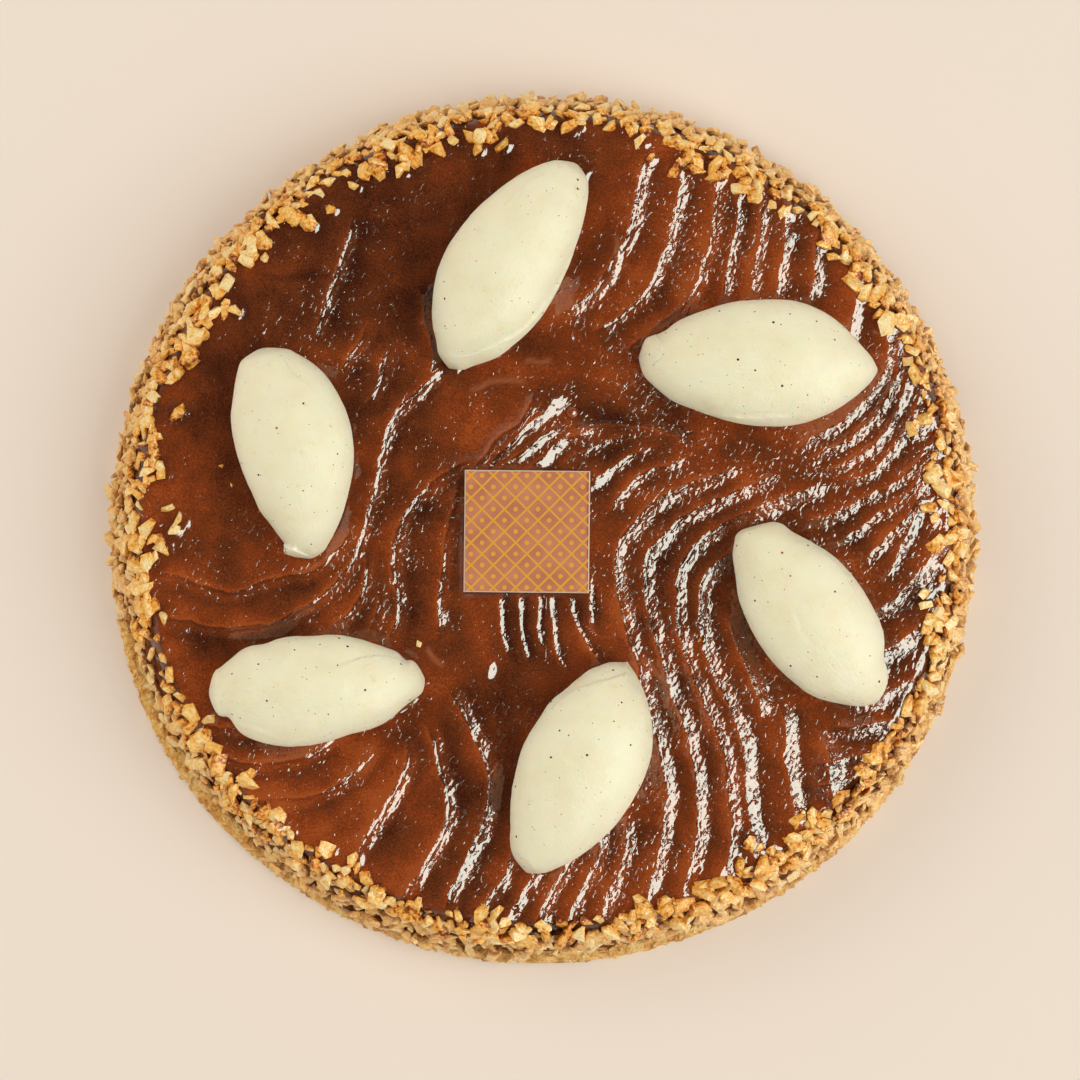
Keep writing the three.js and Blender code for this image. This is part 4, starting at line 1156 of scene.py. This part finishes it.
chips = bpy.data.collections.new("chips")
for i in range(CHIP_SHAPES):
    form = bmesh.new()
    half = np.array([HALF_LENGTH, random.uniform(*HALF_WIDTHS), random.uniform(*HALF_HEIGHTS)])
    for _ in range(CHIP_CORNERS):
        way = random.normal(size=3)
        boxed = way / np.sum(np.abs(way) ** BOXINESS) ** (1 / BOXINESS)
        form.verts.new(boxed * half * random.uniform(*CORNER_REACH))
    skin = bmesh.ops.convex_hull(form, input=form.verts)
    bmesh.ops.delete(form, geom=list({*skin["geom_interior"], *skin["geom_unused"]}), context="VERTS")
    bmesh.ops.recalc_face_normals(form, faces=form.faces)
    inner_side = form.verts.layers.float.new("inner")  # 1 on the chip's lower side, darkened as caramel soaked in and painted shade in the crevices
    for corner in form.verts:
        corner[inner_side] = min(1, max(0, 0.55 - 0.75 * corner.co.z / half[2]))
    chip_mesh = bpy.data.meshes.new(f"chip_{i}")
    form.to_mesh(chip_mesh)
    form.free()
    chips.objects.link(bpy.data.objects.new(f"chip_{i}", chip_mesh))

# %% [markdown]
# The node tree takes the places as loose corners with a width and an outward direction each. It puts
# a random chip on every place, turns its flat way outwards with a random tilt, and scales it.

# %% The tree that puts a chip on every place
CHIP_INPUTS = {
    "Places": "Geometry", "Chips": "Collection", "Tilt": "Float", "Seed": "Int", "Finish": "Material",
}

chip_tree = bpy.data.node_groups.new("chips_on_places", "GeometryNodeTree")
for socket_name, socket_kind in CHIP_INPUTS.items():
    chip_tree.interface.new_socket(socket_name, in_out="INPUT", socket_type="NodeSocket" + socket_kind)
chip_tree.interface.new_socket("Nuts", in_out="OUTPUT", socket_type="NodeSocketGeometry")
add = node_adder(chip_tree)
given = add("NodeGroupInput").outputs
most = add("ShaderNodeCombineXYZ", {0: given["Tilt"], 1: given["Tilt"], 2: math.pi})
least = add("ShaderNodeVectorMath", {0: most, "Scale": -1.0}, operation="SCALE")
random_turn = add("FunctionNodeRandomValue", {
    "Min": least, "Max": most, "Seed": given["Seed"],
}, data_type="FLOAT_VECTOR")
wobble = add("FunctionNodeEulerToRotation", {0: random_turn})
outward = add("GeometryNodeInputNamedAttribute", {"Name": "outward"}, data_type="FLOAT_VECTOR")
upright = add("FunctionNodeAlignRotationToVector", {"Vector": outward}, axis="Z")
turned = add("FunctionNodeRotateRotation", {
    "Rotation": upright, "Rotate By": wobble,
}, rotation_space="LOCAL")
width = add("GeometryNodeInputNamedAttribute", {"Name": "width"}, data_type="FLOAT")
shapes = add("GeometryNodeCollectionInfo", {
    "Collection": given["Chips"], "Separate Children": True, "Reset Children": True,
})
placed = add("GeometryNodeInstanceOnPoints", {
    "Points": given["Places"],
    "Instance": shapes,
    "Pick Instance": True,
    "Rotation": turned,
    "Scale": width,
})
tone = add("FunctionNodeRandomValue", {"Seed": given["Seed"]}, data_type="FLOAT").outputs[1]
toned = add("GeometryNodeStoreNamedAttribute", {
    "Geometry": placed, "Name": "tone", "Value": tone,
}, data_type="FLOAT", domain="INSTANCE")
real = add("GeometryNodeRealizeInstances", {0: toned})
finished = add("GeometryNodeSetMaterial", {0: real, "Material": given["Finish"]})
add("NodeGroupOutput", {0: finished})

# %% [markdown]
# ### Roasted almond
#
# Almonds roasted with a little sugar: pale cream where they broke, golden to brown where they
# toasted, with a dull shine from the sugar.

# %% Roasted almond
almond, add = new_material("roasted_almond")
place = add("TexCoord").outputs["Object"]
tone, on_side, inner = (
    add("Attribute", attribute_name=field).outputs["Fac"] for field in ("tone", "side", "inner")
)
toasting = add("TexNoise", {"Vector": place, "Scale": 1 / (2.6 * MM), "Detail": 6.0, "Roughness": 0.74})
shifted = add("Math", {0: tone, 1: 0.42, 2: toasting}, operation="MULTIPLY_ADD")
sugar = add("TexNoise", {"Vector": place, "Scale": 1 / (0.9 * MM), "Detail": 2.0})
freckles = add("MapRange", {
    "Value": sugar, "From Min": 0.3, "From Max": 0.7, "To Min": -0.2, "To Max": 0.2,
})
freckled = add("Math", {0: shifted, 1: freckles}, operation="ADD")
# Each chip darkens towards its lower side: caramel soaked in, and painted shade in the crevices.
soaked_and_shaded = add("Math", {0: inner, 1: -0.4, 2: freckled}, operation="MULTIPLY_ADD")
toast = add("ValToRGB", {0: soaked_and_shaded}, stops=[
    (0.1, "#4e220a"), (0.28, "#a4500f"), (0.39, "#e08d2a"), (0.5, "#f8b147"), (0.68, "#fdcb6e"),
    (0.88, "#ffe8ac"),
])
# On the side the chips turn pale: their own paler colour, and painted light from the bright floor.
pale_and_lit = add("Mix", {0: on_side, 6: toast, 7: colour("#f7d297")}, data_type="RGBA")
rough_break = add("TexNoise", {"Vector": place, "Scale": 1 / (0.7 * MM), "Detail": 3.0})
break_bump = add("Bump", {"Height": rough_break, "Distance": 0.45 * MM})
finish_material(add, {
    "Base Color": pale_and_lit.outputs[2], "Roughness": 0.32, "IOR": 1.45, "Normal": break_bump,
})

# %% Chips as one plain mesh
CHIP_TILT = math.radians(40)
SIDE_PALE_AND_LIT = 0.42  # how far the pale colour takes over on the side: paler chips, and painted light from the bright floor


def chips_at(name, wanted, finish, seed):
    """One piece with a chip at each place: plan place, height, width, outward direction, share of side."""
    wanted = np.array(wanted)
    wanted[:, :2] += shift
    places = bpy.data.meshes.new(name + "_places")
    places.from_pydata((wanted[:, :3] * MM).tolist(), [], [])
    piece = bpy.data.objects.new(name, places)
    bpy.context.collection.objects.link(piece)
    store_on_corners(piece, "width", wanted[:, 3] * MM)
    store_on_corners(piece, "outward", wanted[:, 4:7])
    store_on_corners(piece, "side", SIDE_PALE_AND_LIT * wanted[:, 7])
    modifier = piece.modifiers.new("chips", "NODES")
    modifier.node_group = chip_tree
    sockets = chip_tree.interface.items_tree
    inputs = {item.name: item.identifier for item in sockets if item.in_out == "INPUT"}
    for input_name, value in (("Chips", chips), ("Tilt", CHIP_TILT), ("Seed", seed), ("Finish", finish)):
        modifier[inputs[input_name]] = value
    evaluated = piece.evaluated_get(bpy.context.evaluated_depsgraph_get())
    plain = bpy.data.meshes.new_from_object(evaluated)
    piece.modifiers.clear()
    piece.data = plain
    keep_inside(plain)
    print(f"{name}: {len(plain.polygons)} triangles")
    return piece


roasted_nuts = chips_at("roasted_nuts", nuts, almond, seed=5)
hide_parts("apple_layer")
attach(roasted_nuts, "root")

# %% [markdown]
# ## Quenelles
#
# Cross sections like a loaf's, flat where the cream sits on the glaze, are set along a bowed line and
# shrink to a point at both ends.

# %% Cream shapes
STATIONS = 180
GIRTH = 110
FOOT_ANGLE = math.radians(41)  # below level, where the rounded side meets the flat foot
BELLY = 0.42  # the height of the widest place over the whole height
CROWN = 0.42  # how the height falls off towards the tips, where 0.5 is round
TIP_CROWN = 0.7  # how it follows a tip's own rounding, where 1 is as round as in plan
GIRTH_STEP = 0.9  # from one corner of a section to the next, about
FOLD_FADE = 4.0  # a fold dies out over this length at both ends
FOLD_HIGH = 2.5  # its raised side, right of its line, dies out over this length
FOLD_LOW = 1.8  # and its lowered side over this one
SLANT_REACH = 6.0  # a tip's slant fades over this length
FOOT = 1.0  # swells and folds stay off the lowest millimetre
TIP_HEIGHT = 0.5


def quenelle_mesh(name, shape, touch, seed):
    """One quenelle as a closed mesh."""
    turn = math.radians(shape["turn"])
    half_length = shape["length"] / 2
    start, end = touch["cuts"][0] - half_length, half_length - touch["cuts"][1]
    spread = (1 + np.sin(np.pi / 2 * np.linspace(-1, 1, STATIONS))) / 2
    lengthwise = (start + (end - start) * spread)[1:-1, None]
    from_tip = np.minimum(lengthwise - start, end - lengthwise)
    tip_round = np.where(lengthwise < 0, *touch["rounds"])
    rounding = np.sqrt(1 - np.clip(1 - from_tip / tip_round, 0, 1) ** 2)
    along = lengthwise / half_length
    half, middle = cross_width(shape, along)
    angle = np.linspace(-FOOT_ANGLE, math.pi + FOOT_ANGLE, GIRTH)[None, :]
    left = right = half * rounding + 0 * angle
    for place, side, push, reach in touch["knocks"]:
        bulge = push * np.exp(-((lengthwise - place) / reach) ** 2) * rounding
        left, right = (left + bulge, right) if side > 0 else (left, right + bulge)
    height = (shape["height"] - GAP) * (1 - along * along) ** CROWN * rounding ** TIP_CROWN
    belly = BELLY * height
    across = middle + np.where(np.cos(angle) < 0, right, left) * np.cos(angle)
    reach = np.where(np.sin(angle) > 0, height - belly, belly / math.sin(FOOT_ANGLE))
    up = belly + reach * np.sin(angle)
    swell = layered_noise(lengthwise, up + across, (0.22, 8, seed), (0.07, 2, seed))
    for depth, path in touch["folds"]:
        away, travelled, whole = nearest_on_path(smooth_path(path), lengthwise + 0 * angle, across)
        fade = fade_at_ends(travelled, whole, FOLD_FADE) * (np.sin(angle) > 0)
        lip = np.where(away < 0, 0.5 * np.exp(away / FOLD_HIGH), -np.exp(-away / FOLD_LOW))
        swell = swell + depth * lip * fade
    across, up = across + swell * np.cos(angle), up + swell * np.sin(angle) * (up > FOOT)
    slant = np.where(lengthwise < 0, *touch["slants"])
    lengthwise = lengthwise + slant * across * np.exp(-from_tip / SLANT_REACH)
    x = shape["x"] + lengthwise * math.cos(turn) - across * math.sin(turn)
    y = shape["y"] + lengthwise * math.sin(turn) + across * math.cos(turn)
    corners = np.stack([x, y, SEAT + np.maximum(up, 0)], -1).reshape(-1, 3)
    ends = [
        (shape["x"] + tip * math.cos(turn), shape["y"] + tip * math.sin(turn), SEAT + TIP_HEIGHT)
        for tip in (start, end)
    ]
    number = np.arange(len(corners)).reshape(-1, GIRTH)
    faces = []
    for lower, upper in zip(number, number[1:]):
        faces += band(lower, upper)
    faces += fan(len(corners), number[0][::-1]) + fan(len(corners) + 1, number[-1])
    piece = make_piece(name, np.vstack([corners, ends]), faces)
    girth = np.arange(GIRTH) * GIRTH_STEP
    for field, values in (("lengthwise", lengthwise + 0 * angle), ("girth", girth + 0 * lengthwise)):
        store_on_corners(piece, field, np.append(values.ravel(), [0, 0]))
    return piece


# %% [markdown]
# ### Whipped cream
#
# Cream whipped with mascarpone and vanilla: ivory, dense and matt, with light scattered inside it, so
# that its shaded side stays warm. The seeds of the vanilla pod show as black specks.

# %% Whipped vanilla cream
cream, add = new_material("whipped_vanilla_cream")
place = add("TexCoord").outputs["Object"]
cells = add("TexVoronoi", {"Vector": place, "Scale": 1 / (2.4 * MM)})
size_pick, brown_pick, _ = add("SeparateColor", {0: cells.outputs["Color"]}).outputs
speck_size = add("MapRange", {
    "Value": size_pick, "From Min": 0.78, "From Max": 1.0, "To Min": 0.06, "To Max": 0.16,
})
speck = add("Math", {0: cells.outputs["Distance"], 1: speck_size}, operation="LESS_THAN")
is_brown = add("Math", {0: brown_pick, 1: 0.9}, operation="GREATER_THAN")
mottle = add("TexNoise", {"Vector": place, "Scale": 1 / (9 * MM), "Detail": 3.0})
tint = add("ValToRGB", {0: mottle}, stops=[(0.3, "#f1ecce"), (0.6, "#f6f3d8")])
stains = add("TexNoise", {"Vector": place, "Scale": 1 / (2.6 * MM), "Detail": 3.0})
stained = add("MapRange", {"Value": stains, "From Min": 0.64, "From Max": 0.78, "To Max": 0.7})
blotched, speck_colour = (
    add("Mix", {0: share, 6: under, 7: colour(over)}, data_type="RGBA").outputs[2]
    for share, under, over in ((stained, tint, "#eddfae"), (is_brown, colour("#2b211a"), "#b0702c"))
)
speckled = add("Mix", {0: speck, 6: blotched, 7: speck_colour}, data_type="RGBA")
grain = add("TexNoise", {"Vector": place, "Scale": 1 / (0.9 * MM), "Detail": 3.0})
grain_bump = add("Bump", {"Height": grain, "Distance": 0.22 * MM})
lengthwise, girth = (
    add("Attribute", attribute_name=field).outputs["Fac"] for field in ("lengthwise", "girth")
)
unrolled = add("CombineXYZ", {0: lengthwise, 1: girth})
drawn_out = add("Mapping", {0: unrolled, "Scale": (0.12, 0.9, 1.0)})
scrapes = add("TexNoise", {"Vector": drawn_out, "Scale": 1.0, "Detail": 3.0})
scrape_bump = add("Bump", {"Height": scrapes, "Distance": 0.16 * MM, "Normal": grain_bump})
finish_material(add, {
    "Base Color": speckled.outputs[2],
    "Roughness": 0.5,
    "IOR": 1.4,
    "Subsurface Weight": 1.0,
    "Subsurface Radius": (2.4 * MM, 1.8 * MM, 1.2 * MM),
    "Subsurface Scale": 1.0,
    "Normal": scrape_bump,
})

for i, (shape, touch) in enumerate(zip(QUENELLES, TOUCHES)):
    made = quenelle_mesh(f"cream_{i + 1}", shape, touch, 20 + i)
    made.data.materials.append(cream)
    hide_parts(f"quenelle_{i + 1}")
    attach(made, "root")

# %% [markdown]
# ## Pastry base
#
# A disc of baked short pastry with a broken, crumbly edge.

# %% Pastry disc
PASTRY_MIDDLE = np.array([-0.7, -1.6])
PASTRY_RADIUS = 118.2
PASTRY_EDGE = [  # inset and height
    (1.6, 0.0), (0.7, 0.4), (0.2, 1.2), (0.0, 2.2), (0.1, 3.2),
    (0.5, 4.2), (1.1, 5.0), (2.0, 5.7), (3.2, 6.0), (4.6, 6.0),
]
PASTRY_STEPS = 720


def pastry_radius(bearing):
    """The disc's radius at a bearing in radians, since it was rolled and cut by hand."""
    return PASTRY_RADIUS + 0.25 * np.sin(7 * bearing + 1) - 0.6 * np.sin(3 * bearing)


turns = np.arange(PASTRY_STEPS) * 2 * math.pi / PASTRY_STEPS
travelled = turns * 118  # millimetres round the edge, about
corners, faces = [], []
for level, (inset, height) in enumerate(PASTRY_EDGE):
    rough = 1.0 if 0 < level < len(PASTRY_EDGE) - 1 else 0.0
    broken = layered_noise(travelled, height, (0.4, 3.1, 11), (0.25, 1.1, 12))
    out = pastry_radius(turns) - inset + rough * broken
    lift = 0.25 * rough * soft_noise(travelled, height * 1.3, 1.6, 13)
    corners.append(np.column_stack([
        PASTRY_MIDDLE[0] + out * np.cos(turns),
        PASTRY_MIDDLE[1] + out * np.sin(turns),
        np.clip(height + lift, 0, PASTRY_HEIGHT),
    ]))
for level in range(len(PASTRY_EDGE) - 1):
    lower = level * PASTRY_STEPS + np.arange(PASTRY_STEPS)
    faces += band(lower, lower + PASTRY_STEPS)
corners = np.vstack([*corners, [[*PASTRY_MIDDLE, 0], [*PASTRY_MIDDLE, PASTRY_HEIGHT]]])
faces += fan(len(corners) - 2, np.arange(PASTRY_STEPS)[::-1])
faces += fan(len(corners) - 1, lower + PASTRY_STEPS)
pastry = make_piece("pastry_disc", corners, faces)
keep_inside(pastry.data)

# %% [markdown]
# Crumbs of pastry cling to its edge and hide the line between crust and nuts. They are chips as well,
# only smaller and paler, so the same tree sets them on places along the edge's profile.

# %% Places for crumbs
CRUMBS = 3200
CRUMB_SINK = 0.5
CRUMB_LEAN = (0.8, 0.6)  # outwards and upwards

profile = np.array(PASTRY_EDGE)
crumbs = []
for _ in range(CRUMBS):
    bearing = random.uniform(0, 2 * math.pi)
    at = random.uniform(1, len(PASTRY_EDGE) - 1)
    inset, height = (np.interp(at, np.arange(len(profile)), profile[:, k]) for k in (0, 1))
    out = np.array([math.cos(bearing), math.sin(bearing)])
    place = PASTRY_MIDDLE + out * (pastry_radius(bearing) - inset - CRUMB_SINK)
    crumbs.append((*place, height, random.uniform(1.0, 3.0), *(CRUMB_LEAN[0] * out), CRUMB_LEAN[1], 1))

# %% Baked short pastry
baked, add = new_material("baked_short_pastry")
place = add("TexCoord").outputs["Object"]
browning = add("TexNoise", {"Vector": place, "Scale": 1 / (4 * MM), "Detail": 6.0, "Roughness": 0.75})
crust = add("ValToRGB", {0: browning}, stops=[
    (0.34, "#a06220"), (0.43, "#d89a44"), (0.53, "#f4c570"), (0.64, "#fde29c"),
])
crumbling = add("TexNoise", {"Vector": place, "Scale": 1 / (1.1 * MM), "Detail": 4.0})
crumb_bump = add("Bump", {"Height": crumbling, "Distance": 0.9 * MM})
finish_material(add, {"Base Color": crust, "Roughness": 0.75, "Normal": crumb_bump})
pastry.data.materials.append(baked)
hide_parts("pastry_base")
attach(pastry, "root")

crust_crumbs = chips_at("crust_crumbs", crumbs, baked, seed=9)
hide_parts("pastry_base")
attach(crust_crumbs, "root")
for chip in list(chips.objects):
    bpy.data.objects.remove(chip)
bpy.data.collections.remove(chips)

# %% [markdown]
# ## Plaque
#
# A thin square of chocolate, set on a transfer sheet that left a golden print on a copper ground. The
# print here is a trellis with a dot in each mesh. It could be painted, but a repeating figure follows
# from its spacing: the fraction of a place over the spacing says where in one mesh a point lies.

# %% Copper chocolate with a golden trellis
TRELLIS = 4.3 * MM  # between two parallel lines
LINE_SHARE = 0.066  # of the spacing, half a line's width
DOT_SHARE = 0.15
EDGE_LINE = 0.45 * MM
SHADED_STRIP = 0.9 * MM  # the right edge, where the print ends and the ground is darker

copper, add = new_material("printed_chocolate")
place = add("TexCoord").outputs["Object"]
middle = (plaque_low + plaque_high) / 2
turned = add("Mapping", {
    "Vector": place, "Location": tuple(middle), "Rotation": (0, 0, math.radians(45)),
    "Scale": (TRELLIS, TRELLIS, TRELLIS),
}, vector_type="TEXTURE")
in_mesh = add("VectorMath", {0: turned}, operation="FRACTION")
centred = add("VectorMath", {0: in_mesh, 1: (0.5, 0.5, 0.5)}, operation="SUBTRACT")
flat = add("VectorMath", {0: centred, 1: (1, 1, 0)}, operation="MULTIPLY")
from_middle = add("VectorMath", {0: flat}, operation="LENGTH").outputs["Value"]
dot = add("Math", {0: from_middle, 1: DOT_SHARE}, operation="LESS_THAN")
to_lines = add("VectorMath", {0: flat}, operation="ABSOLUTE")
sides = add("SeparateXYZ", {0: to_lines}).outputs
nearest = add("Math", {0: sides[0], 1: sides[1]}, operation="MAXIMUM")
line = add("Math", {0: nearest, 1: 0.5 - LINE_SHARE}, operation="GREATER_THAN")
figure = add("Math", {0: dot, 1: line}, operation="MAXIMUM")

# %% Its edges and finish
x_place, y_place, _ = add("SeparateXYZ", {0: place}).outputs
off_middle = add("Math", {0: y_place, 1: middle[1]}, operation="SUBTRACT")
off_middle = add("Math", {0: off_middle}, operation="ABSOLUTE")
line_start = (plaque_high[1] - plaque_low[1]) / 2 - EDGE_LINE
rim_line = add("Math", {0: off_middle, 1: line_start}, operation="GREATER_THAN")
gilded = add("Math", {0: figure, 1: rim_line}, operation="MAXIMUM")
strip_start = plaque_high[0] - SHADED_STRIP
right_strip = add("Math", {0: x_place, 1: strip_start}, operation="GREATER_THAN")
bloom = add("TexNoise", {"Vector": place, "Scale": 1 / (6 * MM), "Detail": 6.0})
ground = add("ValToRGB", {0: bloom}, stops=[(0.35, "#b8704e"), (0.65, "#c98060")])
# The plaque's side faces are coloured pale, a painted highlight where they catch the light.
facing = add("NewGeometry").outputs["Normal"]
upwards = add("SeparateXYZ", {0: facing}).outputs[2]
painted_edge_highlight = add("Math", {0: upwards, 1: 0.9}, operation="LESS_THAN")
surface = ground
for share, over in ((right_strip, "#a35438"), (gilded, "#e0a028"), (painted_edge_highlight, "#dccbbd")):
    surface = add("Mix", {0: share, 6: surface, 7: colour(over)}, data_type="RGBA").outputs[2]
print_bump = add("Bump", {"Height": gilded, "Distance": 0.05 * MM})
finish_material(add, {
    "Base Color": surface,
    "Roughness": 0.38,
    "Specular IOR Level": 0.4,
    "Normal": print_bump,
})
plaque = frame["nodes"]["plaque"]
plaque.data.materials.clear()
plaque.data.materials.append(copper)

# %% [markdown]
# ## Sizes and the end
#
# The box of the solids is printed.

# %% Boxes
print("solids:", [list(c) for c in cad_box])
